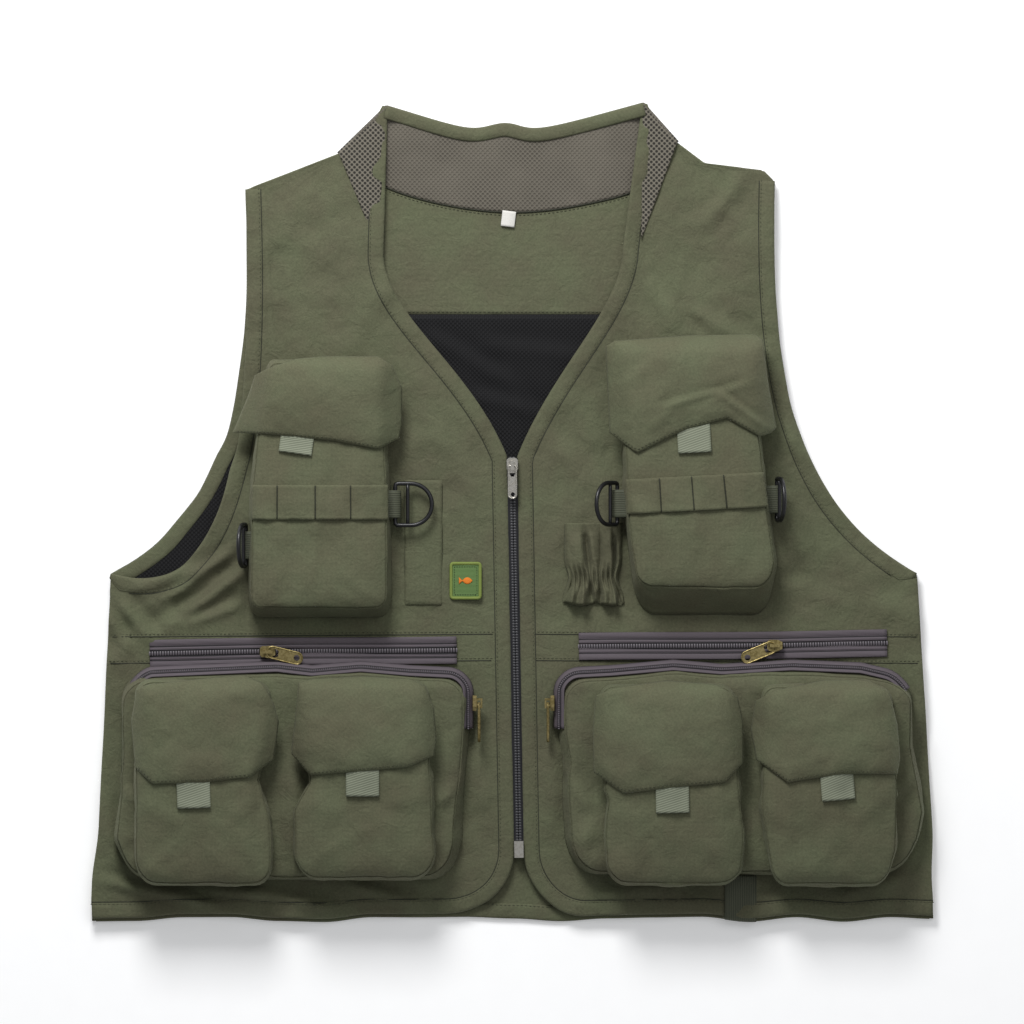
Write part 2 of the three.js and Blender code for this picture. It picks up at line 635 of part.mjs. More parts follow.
const OLIVE = { color: 0x585a4a, roughness: 0.9, metalness: 0 };
const WEBBING = { color: 0x747a69, roughness: 0.85, metalness: 0 };
const COLLAR_GREY = { color: 0x6a665b, roughness: 0.9, metalness: 0 };
const BLACK_MESH = { color: 0x1c1c1e, roughness: 0.9, metalness: 0 };
const ZIP_BLACK = { color: 0x26262a, roughness: 0.6, metalness: 0 };
const ZIP_GREY = { color: 0x544f52, roughness: 0.7, metalness: 0 };
const BLACK_PLASTIC = { color: 0x202024, roughness: 0.4, metalness: 0 };
const BADGE_GREEN = { color: 0x6f8f52, roughness: 0.7, metalness: 0 };
const BRASS = { color: 0x8f8252, roughness: 0.35, metalness: 1 };
const NICKEL = { color: 0xc8c4ba, roughness: 0.25, metalness: 1 };

function piece(name, finish, solid) {
  const mesh = new THREE.Mesh(geometryOf(solid), new THREE.MeshStandardMaterial(finish));
  mesh.name = name;
  return mesh;
}

const BODY_FINISH = { back_mesh_panel: BLACK_MESH };

const vest = new THREE.Group();
for (const [name, solid] of Object.entries(backPanels())) {
  vest.add(piece(name, BODY_FINISH[name] ?? OLIVE, solid));
}
vest.add(piece('collar_mesh', COLLAR_GREY, collarMesh()));
vest.add(piece('collar_binding', OLIVE, collarBinding()));
for (const side of SIDES) {
  for (const [name, solid] of Object.entries(frontPanels(side))) {
    vest.add(piece(name, OLIVE, solid));
  }
  vest.add(waistZip(side), cargoPocket(side), smallPockets(side), chestPocket(side));
}
vest.add(frontZip());
vest.add(patchPocket('tool_pocket', TOOL_POCKET, TOOL_DEPTH));
vest.add(patchPocket('elastic_pocket', ELASTIC_POCKET, ELASTIC_DEPTH));
vest.add(badge(), hemLoop());

export default vest;
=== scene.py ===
"""Fishing vest, laid out on its back: cloth, net, zips, pockets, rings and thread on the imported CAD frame.

All sizes in the classes are millimetres in the CAD frame; a mesh is turned to metres as it is made.
"""

import logging
import math
from dataclasses import dataclass, field
from enum import Enum

import bpy
import numpy as np
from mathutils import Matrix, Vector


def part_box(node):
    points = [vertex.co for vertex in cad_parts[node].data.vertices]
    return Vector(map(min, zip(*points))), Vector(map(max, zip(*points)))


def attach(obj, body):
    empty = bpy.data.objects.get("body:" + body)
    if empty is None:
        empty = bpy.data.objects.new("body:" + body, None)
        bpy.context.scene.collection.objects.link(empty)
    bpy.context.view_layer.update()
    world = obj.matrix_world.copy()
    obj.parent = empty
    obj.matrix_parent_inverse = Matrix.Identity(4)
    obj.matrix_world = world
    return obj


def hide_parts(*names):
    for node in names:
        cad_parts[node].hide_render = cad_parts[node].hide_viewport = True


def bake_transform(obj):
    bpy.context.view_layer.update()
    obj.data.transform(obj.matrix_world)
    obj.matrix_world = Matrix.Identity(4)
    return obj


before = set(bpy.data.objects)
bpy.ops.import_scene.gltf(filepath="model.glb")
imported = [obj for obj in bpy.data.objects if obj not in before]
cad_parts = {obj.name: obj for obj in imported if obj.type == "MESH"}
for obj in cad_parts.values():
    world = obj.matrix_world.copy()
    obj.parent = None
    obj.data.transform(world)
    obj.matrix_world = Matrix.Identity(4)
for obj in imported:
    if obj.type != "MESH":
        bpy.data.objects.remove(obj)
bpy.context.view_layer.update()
log = logging.getLogger("fishing_vest")

Array = np.ndarray
Material = bpy.types.Material
Pair = tuple[float, float]
Outline = tuple[Pair, ...]

MM = 0.001
TOP, HEM, FRONT_HEM = 294.5, -294.5, -291.0
HALF_HEM, HALF_CHEST, ARMPIT_Y = 303.5, 290.5, -44.5
ON_BACK, ON_FRONT = 1.6, 9.0
ZIP_END_Y, CORNER = 39.0, 48.0
YOKE_Y, LOWER_Y = 142.5, -110.5
WAIST_SEAMS = (-88.0, -107.0)
MAIN_BODY = "vest"
LEAST_SIDE, LEAST_FILL, FLAT_MARGIN = 0.0101, 0.45, 1.002


# ---- Numbers on grids ------------------------------------------------------------------------


def value_noise(x: Array, y: Array, size: float, seed: int) -> Array:
    """Random heights on a square lattice, joined by a smooth step between neighbours.

    Args:
        x, y: Places in millimetres.
        size: Lattice spacing in millimetres.
        seed: Picks the set of random heights.
    Returns:
        Heights from -1 to 1.
    """
    table = np.random.default_rng(seed).uniform(-1, 1, (64, 64))
    gx, gy = np.asarray(x) / size, np.asarray(y) / size
    ix, iy = np.floor(gx).astype(int), np.floor(gy).astype(int)
    fx, fy = gx - ix, gy - iy
    fx, fy = fx * fx * (3 - 2 * fx), fy * fy * (3 - 2 * fy)
    ix, iy = ix % 64, iy % 64
    jx, jy = (ix + 1) % 64, (iy + 1) % 64
    low = table[ix, iy] * (1 - fx) + table[jx, iy] * fx
    high = table[ix, jy] * (1 - fx) + table[jx, jy] * fx
    return low * (1 - fy) + high * fy


def crumple(x: Array, y: Array, size: float, seed: int) -> Array:
    """Three octaves of value noise, each half the size and half the height of the one before."""
    turned_x, turned_y = 0.8 * x - 0.6 * y, 0.6 * x + 0.8 * y
    return (value_noise(x, y, size, seed) + 0.5 * value_noise(turned_x, turned_y, size / 2, seed + 1)
            + 0.25 * value_noise(x, y, size / 4, seed + 2))


@dataclass(frozen=True)
class Fold:
    """A crease in cloth between two places: a ridge with a valley along one side."""

    start: Pair
    end: Pair
    width: float = 7.0
    height: float = 2.0

    def rise(self, x: Array, y: Array) -> Array:
        """Gaussian ridge across the line, less a wider valley beside it, faded out past both ends."""
        dx, dy = self.end[0] - self.start[0], self.end[1] - self.start[1]
        length = math.hypot(dx, dy)
        along = ((x - self.start[0]) * dx + (y - self.start[1]) * dy) / length
        across = ((y - self.start[1]) * dx - (x - self.start[0]) * dy) / length
        outside = np.maximum(0, np.abs(along / length - 0.5) - 0.35) / 0.25
        ridge = np.exp(-((across / self.width) ** 2))
        valley = np.exp(-(((across - 1.5 * self.width) / (1.3 * self.width)) ** 2))
        return self.height * (ridge - 0.7 * valley) * np.exp(-(outside**2) * 2)


def bezier(a: Pair, b: Pair, c: Pair, d: Pair, steps: int = 60) -> Array:
    """Cubic Bezier curve from a to d with handles b and c, as steps points."""
    t = np.linspace(0, 1, steps)[:, None]
    a, b, c, d = (np.array(p, float) for p in (a, b, c, d))
    return (1 - t) ** 3 * a + 3 * (1 - t) ** 2 * t * b + 3 * (1 - t) * t**2 * c + t**3 * d


def arc(centre: Pair, radius: float, start: float, end: float, steps: int = 16) -> Array:
    """Points of a circle's arc between two angles in degrees."""
    angle = np.radians(np.linspace(start, end, steps))
    return np.stack([centre[0] + radius * np.cos(angle), centre[1] + radius * np.sin(angle)], -1)


def even(line: Array, step: float) -> Array:
    """The same line with its points a fixed length apart."""
    line = np.asarray(line, float)
    lengths = np.linalg.norm(np.diff(line, axis=0), axis=1)
    line = line[np.concatenate([[True], lengths > 1e-9])]
    run = np.concatenate([[0], np.cumsum(np.linalg.norm(np.diff(line, axis=0), axis=1))])
    count = max(3, round(run[-1] / step) + 1)
    places = np.linspace(0, run[-1], count)
    return np.stack([np.interp(places, run, line[:, k]) for k in range(line.shape[1])], -1)


def curve_through(points: list[Pair], step: float = 3.0) -> Array:
    """A smooth line through points, by a cubic whose tangent at each is along its two neighbours."""
    p = np.array(points, float)
    tangent = np.gradient(p, axis=0)
    parts = [bezier(p[i], p[i] + tangent[i] / 3, p[i + 1] - tangent[i + 1] / 3, p[i + 1], 20)
             for i in range(len(p) - 1)]
    return even(np.concatenate(parts), step)


def left_of(line: Array) -> Array:
    """Unit vectors to the left of a flat line's direction at each point."""
    tangent = np.gradient(line[:, :2], axis=0)
    tangent /= np.maximum(np.linalg.norm(tangent, axis=1, keepdims=True), 1e-9)
    return np.stack([-tangent[:, 1], tangent[:, 0]], -1)


def at_height(line: Array, height: float) -> Array:
    """A flat line with one height at all its points."""
    return np.concatenate([line, np.full((len(line), 1), height)], 1)


def mirrored(profile: list[Pair], side: int) -> list[Pair]:
    """A profile as it is for side 1, or with its offsets the other way for side -1."""
    return [(side * offset, rise) for offset, rise in profile]


# ---- Shapes and meshes -----------------------------------------------------------------------


def settled(points: Array) -> Array:
    """Points with the hem and the sides moved a millimetre or two by slow noise, as cloth lies on a table."""
    x, y, z = points.T
    near_hem = np.clip((-262 - y) / 25, 0, 1) * (z < 14)
    near_side = np.clip((np.abs(x) - 286) / 14, 0, 1) * (y < -40)
    low_x, low_y = value_noise(x, 0 * x, 34, 401), value_noise(y, x * 0.01, 38, 402)
    near_hole = np.clip((np.abs(x) - 184) / 20, 0, 1) * (y > -60) * (y < 225) * (z < 14)
    slow = value_noise(x + 0.4 * y, y, 26, 403) * near_hole
    return np.stack([x + 1.7 * low_y * near_side + 1.3 * slow, y + 2.0 * low_x * near_hem - slow, z], -1)


@dataclass
class Shape:
    """Points in millimetres, four-cornered faces, and a UV in metres of cloth for each face corner."""

    points: Array
    faces: Array
    uv: Array

    def area(self) -> float:
        """Sum of the faces' areas in square metres, each half the cross product of its diagonals."""
        p = self.points[self.faces]
        cross = np.cross(p[:, 2] - p[:, 0], p[:, 3] - p[:, 1])
        return float(np.linalg.norm(cross, axis=1).sum() / 2 * MM * MM)


def surface(grid: Array, solid: bool = False) -> Shape:
    """The skin over a grid of points, one face a cell, with UVs that are the length run along each grid line.

    Args:
        grid: Rows by columns by 3, in millimetres.
        solid: True for a closed form, whose faces are turned outwards; else they are turned upwards.
    Returns:
        The shape.
    """
    rows, columns = grid.shape[:2]
    index = np.arange(rows * columns).reshape(rows, columns)
    faces = np.stack([index[:-1, :-1], index[1:, :-1], index[1:, 1:], index[:-1, 1:]], -1).reshape(-1, 4)
    run = np.zeros((rows, columns, 2))
    run[1:, :, 0] = np.cumsum(np.linalg.norm(np.diff(grid, axis=0), axis=2), 0)
    run[:, 1:, 1] = np.cumsum(np.linalg.norm(np.diff(grid, axis=1), axis=2), 1)
    points, uv = grid.reshape(-1, 3), (run.reshape(-1, 2) * MM)[faces]
    corner = points[faces]
    cross = np.cross(corner[:, 2] - corner[:, 0], corner[:, 3] - corner[:, 1])
    facing = (cross * corner.mean(1)).sum() if solid else cross[:, 2].sum()
    if facing < 0:
        faces, uv = faces[:, ::-1], uv[:, ::-1]
    return Shape(points, faces, uv)


def sheet(x: Array, y: Array, z: Array) -> Shape:
    """The skin over a grid given by its three coordinates."""
    return surface(np.stack([x, y, z], -1))


def lofted(rings: list[Array]) -> Shape:
    """A closed form through closed rings of equal point counts, from one end or round and back to it."""
    grid = np.stack(rings)
    grid = np.concatenate([grid, grid[:, :1]], axis=1)
    return surface(grid, solid=True)


def ribbon(line: Array, profile: list[Pair], height, taper: float = 0.0) -> Shape:
    """A profile of (offset to the left, rise) carried along a flat line over a height field.

    Args:
        line: Points on the plan.
        profile: Offsets and rises across the ribbon.
        height: Function of x and y that the rises stand on.
        taper: Length at the line's end over which the ribbon narrows to a third.
    Returns:
        The shape.
    """
    across = np.array(profile, float)
    to_end = np.linalg.norm(line[:, :2] - line[-1, :2], axis=1)
    wide = 1 - 0.67 * np.clip(1 - to_end / taper, 0, 1) if taper else np.ones(len(line))
    plan = line[:, None, :2] + left_of(line)[:, None] * across[None, :, :1] * wide[:, None, None]
    z = height(plan[..., 0], plan[..., 1]) + across[None, :, 1]
    return surface(np.concatenate([plan, z[..., None]], -1))


def tube(path: Array, radius, sides: int = 8, up: tuple = (0, 0, 1), closed: bool = False,
         flat: float = 1.0) -> Shape:
    """A round or flattened section carried along a path, closed at its ends by a flat cap.

    Args:
        path: Points in millimetres.
        radius: One radius or one for each point.
        sides: Points round the section.
        up: Direction that the section's second axis leans to.
        closed: True if the path's end meets its start.
        flat: The section's second axis over its first.
    Returns:
        The shape.
    """
    path = np.asarray(path, float)
    size = np.broadcast_to(np.asarray(radius, float), (len(path),)).copy()
    if closed:
        before, after = np.roll(path, 1, 0), np.roll(path, -1, 0)
        tangent = after - before
    else:
        tangent = np.gradient(path, axis=0)
    tangent /= np.linalg.norm(tangent, axis=1, keepdims=True)
    side = np.cross(tangent, np.array(up, float))
    side /= np.maximum(np.linalg.norm(side, axis=1, keepdims=True), 1e-9)
    lift = np.cross(side, tangent)
    if closed:
        path, side, lift, size = (np.concatenate([a, a[:1]]) for a in (path, side, lift, size))
    else:
        path, side, lift = (np.concatenate([a[:1], a, a[-1:]]) for a in (path, side, lift))
        size = np.concatenate([[0], size, [0]])
    angle = np.linspace(0, 2 * math.pi, sides + 1)[:-1]
    grid = (path[:, None] + size[:, None, None] * (side[:, None] * np.cos(angle)[None, :, None]
            + lift[:, None] * np.sin(angle)[None, :, None] * flat))
    return lofted(list(grid))


def box_ring(x0: float, x1: float, y0: float, y1: float, radius: float, span: int = 28,
             turn: int = 6) -> Array:
    """The plan outline of a round-cornered box, with the same count of points whatever its size."""
    radius = max(0.0, min(radius, (x1 - x0) / 2, (y1 - y0) / 2))
    corners = [(x1 - radius, y0 + radius, -90), (x1 - radius, y1 - radius, 0),
               (x0 + radius, y1 - radius, 90), (x0 + radius, y0 + radius, 180)]
    arcs = [arc((cx, cy), radius, start, start + 90, turn) for cx, cy, start in corners]
    parts = []
    for here, after in zip(arcs, arcs[1:] + arcs[:1]):
        share = np.linspace(0, 1, span + 2)[1:-1, None]
        parts += [here, here[-1] + (after[0] - here[-1]) * share]
    return np.concatenate(parts)


def stitches(line: Array, pitch: float = 3.0, length: float = 2.1, width: float = 0.42) -> Shape:
    """A row of thread stitches along a line, each a long thin eight-faced bead half sunk in the cloth."""
    places = even(line, pitch)
    tangent = np.gradient(places, axis=0)
    tangent /= np.linalg.norm(tangent, axis=1, keepdims=True)
    side = np.cross(tangent, [0, 0, 1.0])
    lift = np.cross(side, tangent)
    ends = [tangent * length / 2, side * width, lift * width, -side * width, -lift * width,
            -tangent * length / 2]
    points = (places[:, None] + np.stack(ends, 1)).reshape(-1, 3)
    corners = np.array([[0, 1, 2, 2], [0, 2, 3, 3], [0, 3, 4, 4], [0, 4, 1, 1],
                        [5, 2, 1, 1], [5, 3, 2, 2], [5, 4, 3, 3], [5, 1, 4, 4]])
    faces = (np.arange(len(places))[:, None, None] * 6 + corners).reshape(-1, 4)
    return Shape(points, faces, np.zeros((len(faces), 4, 2)))


def mesh_of(name: str, shapes: list[Shape]) -> bpy.types.Mesh:
    """One mesh in metres of several shapes, with points that meet joined and flat corners dropped."""
    starts = np.cumsum([0] + [len(s.points) for s in shapes[:-1]])
    points = settled(np.concatenate([s.points for s in shapes]))
    faces = np.concatenate([s.faces + start for s, start in zip(shapes, starts)])
    uv = np.concatenate([s.uv for s in shapes])
    _, first, inverse = np.unique(np.round(points * 500).astype(np.int64), axis=0,
                                  return_index=True, return_inverse=True)
    points, faces = points[first] * MM, inverse.reshape(-1)[faces]
    same = faces == np.roll(faces, -1, axis=1)
    crossed = (faces[:, 0] == faces[:, 2]) | (faces[:, 1] == faces[:, 3])
    four, three = (same.sum(1) == 0) & ~crossed, (same.sum(1) == 1) & ~crossed
    triangles = faces[three][~same[three]].reshape(-1, 3)
    mesh = bpy.data.meshes.new(name)
    mesh.from_pydata(points.tolist(), [], faces[four].tolist() + triangles.tolist())
    layer = mesh.uv_layers.new(name="cloth")
    flat_uv = np.concatenate([uv[four].reshape(-1, 2), uv[three][~same[three]].reshape(-1, 2)])
    layer.data.foreach_set("uv", flat_uv.astype(np.float32).ravel())
    mesh.polygons.foreach_set("use_smooth", np.ones(len(mesh.polygons), bool))
    mesh.update()
    return mesh


class Held(Enum):
    """How a sheet of cloth is held."""

    LAID = "laid"
    FOLDED = "folded"
    STRETCHED = "stretched"
    GATHERED = "gathered"
    DRAPED = "draped"


@dataclass
class Cloth:
    """How a cloth piece is held, what it rests on, and its cut area over its shape's."""

    held: Held
    rests_on: tuple[str, ...]
    shrink: float = 1.0


def add_piece(name: str, shapes: list[Shape], material: Material, body: str | None = MAIN_BODY,
              replaces: tuple[str, ...] = (), thickness: float = 0.0,
              cloth: Cloth | None = None) -> bpy.types.Object:
    """Makes one piece of the vest and ties it to the frame.

    Args:
        name: Piece name.
        shapes: What it is made of.
        material: Its finish.
        body: CAD body it rides on, or None to leave it on no body.
        replaces: CAD nodes it stands for.
        thickness: Cloth thickness in millimetres, or 0 for a closed form.
        cloth: Facts of a sheet, or None for a hard piece.
    Returns:
        The object.
    """
    piece = bpy.data.objects.new(name, mesh_of(name, shapes))
    bpy.context.scene.collection.objects.link(piece)
    piece.data.materials.append(material)
    if thickness:
        wall = piece.modifiers.new("thickness", "SOLIDIFY")
        wall.thickness, wall.offset = thickness * MM, -1.0
    if body:
        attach(piece, body)
    if replaces:
        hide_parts(*replaces)
    if cloth:
        area = sum(s.area() for s in shapes) * cloth.shrink
        runs = [s.uv.reshape(-1, 2).max(0) - s.uv.reshape(-1, 2).min(0) for s in shapes]
        width, length = sorted(float(v) for v in max(runs, key=lambda run: run[0] * run[1]))
        width = min(width, area / (LEAST_FILL * length))
    log.info("%s: %d points on %s", name, len(piece.data.vertices), body or "two bodies")
    return piece


# ---- Finishes --------------------------------------------------------------------------------


def linear(colour: str) -> tuple[float, float, float, float]:
    """The linear colour of an sRGB hex value."""
    value = [int(colour[i:i + 2], 16) / 255 for i in (1, 3, 5)]
    return (*[v / 12.92 if v <= 0.04045 else ((v + 0.055) / 1.055) ** 2.4 for v in value], 1.0)


def put(tree: bpy.types.NodeTree, node: bpy.types.Node, **inputs) -> None:
    """Sets or joins a node's inputs, named with underscores for spaces, or i0, i1 for a place in the list."""
    for key, value in inputs.items():
        socket = node.inputs[int(key[1:])] if key[1:].isdigit() else node.inputs[key.replace("_", " ")]
        if isinstance(value, bpy.types.NodeSocket):
            tree.links.new(value, socket)
        else:
            socket.default_value = value


def add_node(tree: bpy.types.NodeTree, kind: str, settings: dict | None = None, **inputs) -> bpy.types.Node:
    """Adds a node, with its properties by name, and its inputs as put takes them."""
    node = tree.nodes.new(kind)
    for key, value in (settings or {}).items():
        setattr(node, key, value)
    put(tree, node, **inputs)
    return node


def new_material(name: str) -> tuple[Material, bpy.types.NodeTree, bpy.types.Node, bpy.types.Node]:
    """An empty node material with its output, its Principled shader and its coordinates."""
    material = bpy.data.materials.new(name)
    material.use_nodes = True
    tree = material.node_tree
    tree.nodes.clear()
    shader = add_node(tree, "ShaderNodeBsdfPrincipled")
    output = add_node(tree, "ShaderNodeOutputMaterial")
    tree.links.new(shader.outputs[0], output.inputs[0])
    return material, tree, shader, add_node(tree, "ShaderNodeTexCoord")


def noise(tree: bpy.types.NodeTree, place, scale: float, detail: float = 2.0, **inputs):
    """Height of a noise texture."""
    return add_node(tree, "ShaderNodeTexNoise", Vector=place, Scale=scale, Detail=detail,
                    **inputs).outputs["Fac"]


def waves(tree: bpy.types.NodeTree, place, period: float, direction: str, distortion: float, **inputs):
    """Height of straight waves a period in millimetres apart, on a coordinate in metres."""
    return add_node(tree, "ShaderNodeTexWave", {"bands_direction": direction}, Vector=place,
                    Scale=math.pi / 10 / (period * MM), Distortion=distortion, **inputs).outputs["Fac"]


def ranged(tree: bpy.types.NodeTree, value, start: float, stop: float, low: float = 0.0, high: float = 1.0):
    """A value moved from one range to another and held inside it."""
    return add_node(tree, "ShaderNodeMapRange", Value=value, From_Min=start, From_Max=stop, To_Min=low,
                    To_Max=high).outputs[0]


def mixed(tree: bpy.types.NodeTree, share, low, high, way: str = "MIX"):
    """A mix of two colours by a share."""
    return add_node(tree, "ShaderNodeMix", {"data_type": "RGBA", "blend_type": way}, i0=share, i6=low,
                    i7=high).outputs[2]


def calculated(tree: bpy.types.NodeTree, way: str, *values):
    """The result of a math node."""
    inputs = {f"i{place}": value for place, value in enumerate(values)}
    return add_node(tree, "ShaderNodeMath", {"operation": way}, **inputs).outputs[0]


def bumped(tree: bpy.types.NodeTree, height, distance: float, strength: float, **below):
    """A normal turned by a height, of a distance in millimetres at its fullest."""
    return add_node(tree, "ShaderNodeBump", Height=height, Distance=distance * MM, Strength=strength,
                    **below).outputs[0]


@dataclass(frozen=True)
class WovenCloth:
    """Plain-woven cotton and polyester canvas, piece-dyed and peached.

    Fine crossed threads, a soft mottle where the dye took unevenly, dust-dull highlights and small creases.
    Threads are 0.3 mm apart in the cloth and are drawn 0.9 mm apart, which is as fine as shows.
    """

    name: str
    colour: str
    mottle: str
    thread: float = 0.9
    crease: float = 11.0
    depth: float = 0.55

    def material(self) -> Material:
        """Colour from a broad and a fine noise, bump from the threads and the creases."""
        material, tree, shader, place = new_material(self.name)
        uv, here = place.outputs["UV"], place.outputs["Object"]
        uneven = ranged(tree, noise(tree, here, 22.0, 3.0, Roughness=0.6), 0.35, 0.65)
        dye = mixed(tree, uneven, linear(self.colour), linear(self.mottle))
        warp, weft = (waves(tree, uv, self.thread, way, 0.6, Detail=1.0) for way in "XY")
        thread = calculated(tree, "MULTIPLY", warp, weft)
        speck = calculated(tree, "ADD", thread, noise(tree, here, 700.0))
        tint = mixed(tree, 1.0, dye, ranged(tree, speck, 0.3, 1.5, 0.7, 1.24), "MULTIPLY")
        crease = noise(tree, here, 1000 / self.crease, 4.0, Roughness=0.62, Distortion=0.6)
        fine = bumped(tree, speck, 0.12, 0.8, Normal=bumped(tree, crease, self.depth * 3, 0.9))
        put(tree, shader, Base_Color=tint, Normal=fine, Roughness=0.88, Specular_IOR_Level=0.25,
            Sheen_Weight=0.12, Sheen_Roughness=0.45, Sheen_Tint=linear("#b8b8a0"))
        return material


@dataclass(frozen=True)
class HoledCloth:
    """Warp-knitted polyester with a regular pattern of holes, as spacer mesh or net.

    Holes stand in diagonal rows; a coarser pitch is used where the real one is finer than shows.
    """

    name: str
    colour: str
    hole: str
    pitch: float
    hole_share: float
    fade: float = 0.0

    def material(self) -> Material:
        """Dark spots at the points of a lattice turned by an eighth, and a bump round each."""
        material, tree, shader, place = new_material(self.name)
        here = place.outputs["Object"]
        turned = add_node(tree, "ShaderNodeMapping", Vector=here, Rotation=(0, 0, math.radians(45)))
        spots = add_node(tree, "ShaderNodeTexVoronoi", {"voronoi_dimensions": "2D"},
                         Vector=turned.outputs[0], Scale=1000 / self.pitch, Randomness=0.0)
        edge = ranged(tree, spots.outputs["Distance"], self.hole_share - 0.1, self.hole_share + 0.1)
        veil = ranged(tree, noise(tree, here, 30.0), 0.35, 0.65, self.fade, self.fade * 0.35)
        seen = calculated(tree, "MAXIMUM", edge, veil)
        put(tree, shader, Base_Color=mixed(tree, seen, linear(self.hole), linear(self.colour)),
            Normal=bumped(tree, edge, 0.5, 0.7), Roughness=0.75, Specular_IOR_Level=0.3)
        return material


@dataclass(frozen=True)
class WovenTape:
    """Narrow-loom polyester tape, webbing, twill or thread: ribs along it, or slanted across it."""

    name: str
    colour: str
    groove: str
    rib: float
    slanted: float = 0.0

    def material(self) -> Material:
        """Bands across the tape's UV; slanted ones turn back at that many millimetres down its length."""
        material, tree, shader, place = new_material(self.name)
        uv = place.outputs["UV"]
        if self.slanted:
            part = add_node(tree, "ShaderNodeSeparateXYZ", Vector=uv).outputs
            fold = calculated(tree, "PINGPONG", part[0], self.slanted * MM)
            slant = calculated(tree, "MULTIPLY_ADD", part[1], 0.3, fold)
            uv = add_node(tree, "ShaderNodeCombineXYZ", Y=slant).outputs[0]
        ribs = waves(tree, uv, self.rib, "Y", 0.3)
        put(tree, shader, Base_Color=mixed(tree, ribs, linear(self.groove), linear(self.colour)),
            Normal=bumped(tree, ribs, 0.2, 0.7), Roughness=0.7, Specular_IOR_Level=0.35)
        return material


@dataclass(frozen=True)
class CastMetal:
    """Die-cast zinc, tumbled and plated: bright on its high places and tarnished in its hollows."""

    name: str
    colour: str
    tarnish: str
    roughness: float

    def material(self) -> Material:
        """Two metal colours mixed by a blotchy noise 2 mm across, with faint tumbling scratches."""
        material, tree, shader, place = new_material(self.name)
        blot = noise(tree, place.outputs["Object"], 450.0, 4.0, Roughness=0.65)
        bright = ranged(tree, blot, 0.4, 0.6)
        put(tree, shader, Base_Color=mixed(tree, bright, linear(self.tarnish), linear(self.colour)),
            Roughness=ranged(tree, blot, 0.3, 0.7, self.roughness + 0.15, self.roughness),
            Normal=bumped(tree, blot, 0.06, 0.5), Metallic=1.0)
        return material


@dataclass(frozen=True)
class MouldedPlastic:
    """Injection-moulded acetal or nylon: smooth, with a faint skin texture and a broad soft highlight."""

    name: str
    colour: str
    roughness: float
    ior: float = 1.48

    def material(self) -> Material:
        """One colour that a fine noise darkens a little, and the same noise as bump."""
        material, tree, shader, place = new_material(self.name)
        skin = noise(tree, place.outputs["Object"], 900.0)
        tint = mixed(tree, 1.0, linear(self.colour), ranged(tree, skin, 0.0, 1.0, 0.8, 1.2), "MULTIPLY")
        put(tree, shader, Base_Color=tint, Normal=bumped(tree, skin, 0.04, 0.5), Roughness=self.roughness,
            IOR=self.ior)
        return material


def made(finish: WovenCloth | HoledCloth | WovenTape | CastMetal | MouldedPlastic) -> Material:
    """A field that holds a finish's material, made with the Finishes."""
    return field(default_factory=finish.material)


@dataclass
class Finishes:
    """Every finish of the vest, made once."""

    olive: Material = made(WovenCloth("peached_canvas_olive", "#60644c", "#5d5c48"))
    # Pockets and flaps: the olive canvas a shade lighter, which is painted light where the key light falls
    # more; its shallower crease bump is its own.
    flap: Material = made(WovenCloth("peached_canvas_olive_pockets", "#61654d", "#5f5e49", depth=0.4))
    thread: Material = made(WovenTape("polyester_thread_olive", "#5c5e49", "#4a4c3a", 0.5))
    # Dark tubes along the pressed seams and between the loop strip's cells are painted shade in those
    # grooves; on the badge this is dark thread.
    crease: Material = made(WovenTape("pressed_seam_shadow", "#34362a", "#2c2e23", 0.5))
    net: Material = made(HoledCloth("net_black", "#111113", "#050506", 2.2, 0.38, 0.34))
    collar: Material = made(HoledCloth("spacer_mesh_grey_brown", "#645f55", "#403c35", 2.4, 0.33, 0.95))
    gusset: Material = made(HoledCloth("spacer_mesh_open", "#6f6a5f", "#26241f", 2.7, 0.36))
    tab: Material = made(WovenTape("herringbone_webbing", "#878c79", "#6c715f", 1.7, 25.0))
    strap: Material = made(WovenTape("webbing_olive", "#4f5241", "#3d4033", 1.6))
    grey_tape: Material = made(WovenTape("zip_tape_purple_grey", "#625a60", "#514a4f", 0.9))
    grey_coil: Material = made(MouldedPlastic("nylon_coil_grey", "#5c565c", 0.45, 1.53))
    # Painted shade: dark tubes in the zips' sewing grooves and a dark band in the gap under the waist zips'
    # coils.
    groove: Material = made(WovenTape("sewing_groove_dark", "#252226", "#1b191c", 0.8))
    black_tape: Material = made(WovenTape("zip_tape_black", "#26262a", "#1a1a1d", 0.9))
    black_coil: Material = made(MouldedPlastic("nylon_coil_black", "#3c3c3f", 0.4, 1.53))
    brass: Material = made(CastMetal("antique_brass_plate", "#a59668", "#7d7048", 0.32))
    nickel: Material = made(CastMetal("nickel_plate", "#dad6cd", "#bdb9ae", 0.2))
    acetal: Material = made(MouldedPlastic("acetal_black", "#151517", 0.35))
    badge: Material = made(WovenTape("badge_twill_green", "#617d46", "#4f6938", 0.9))
    badge_edge: Material = made(WovenTape("badge_overlock_yellow_green", "#84934a", "#6b7a38", 0.9))
    badge_motif: Material = made(WovenTape("badge_satin_orange", "#f08a2a", "#cf6c18", 0.7))
    label: Material = made(WovenTape("label_satin_white", "#e4e2dc", "#cfcdc6", 0.8))


# ---- The vest's halves -----------------------------------------------------------------------


def zip_x(y: Array) -> Array:
    """The front zip's middle line: it leans 5 mm over its 288 mm."""
    return 1.5 - (y + 105) * 5 / 288


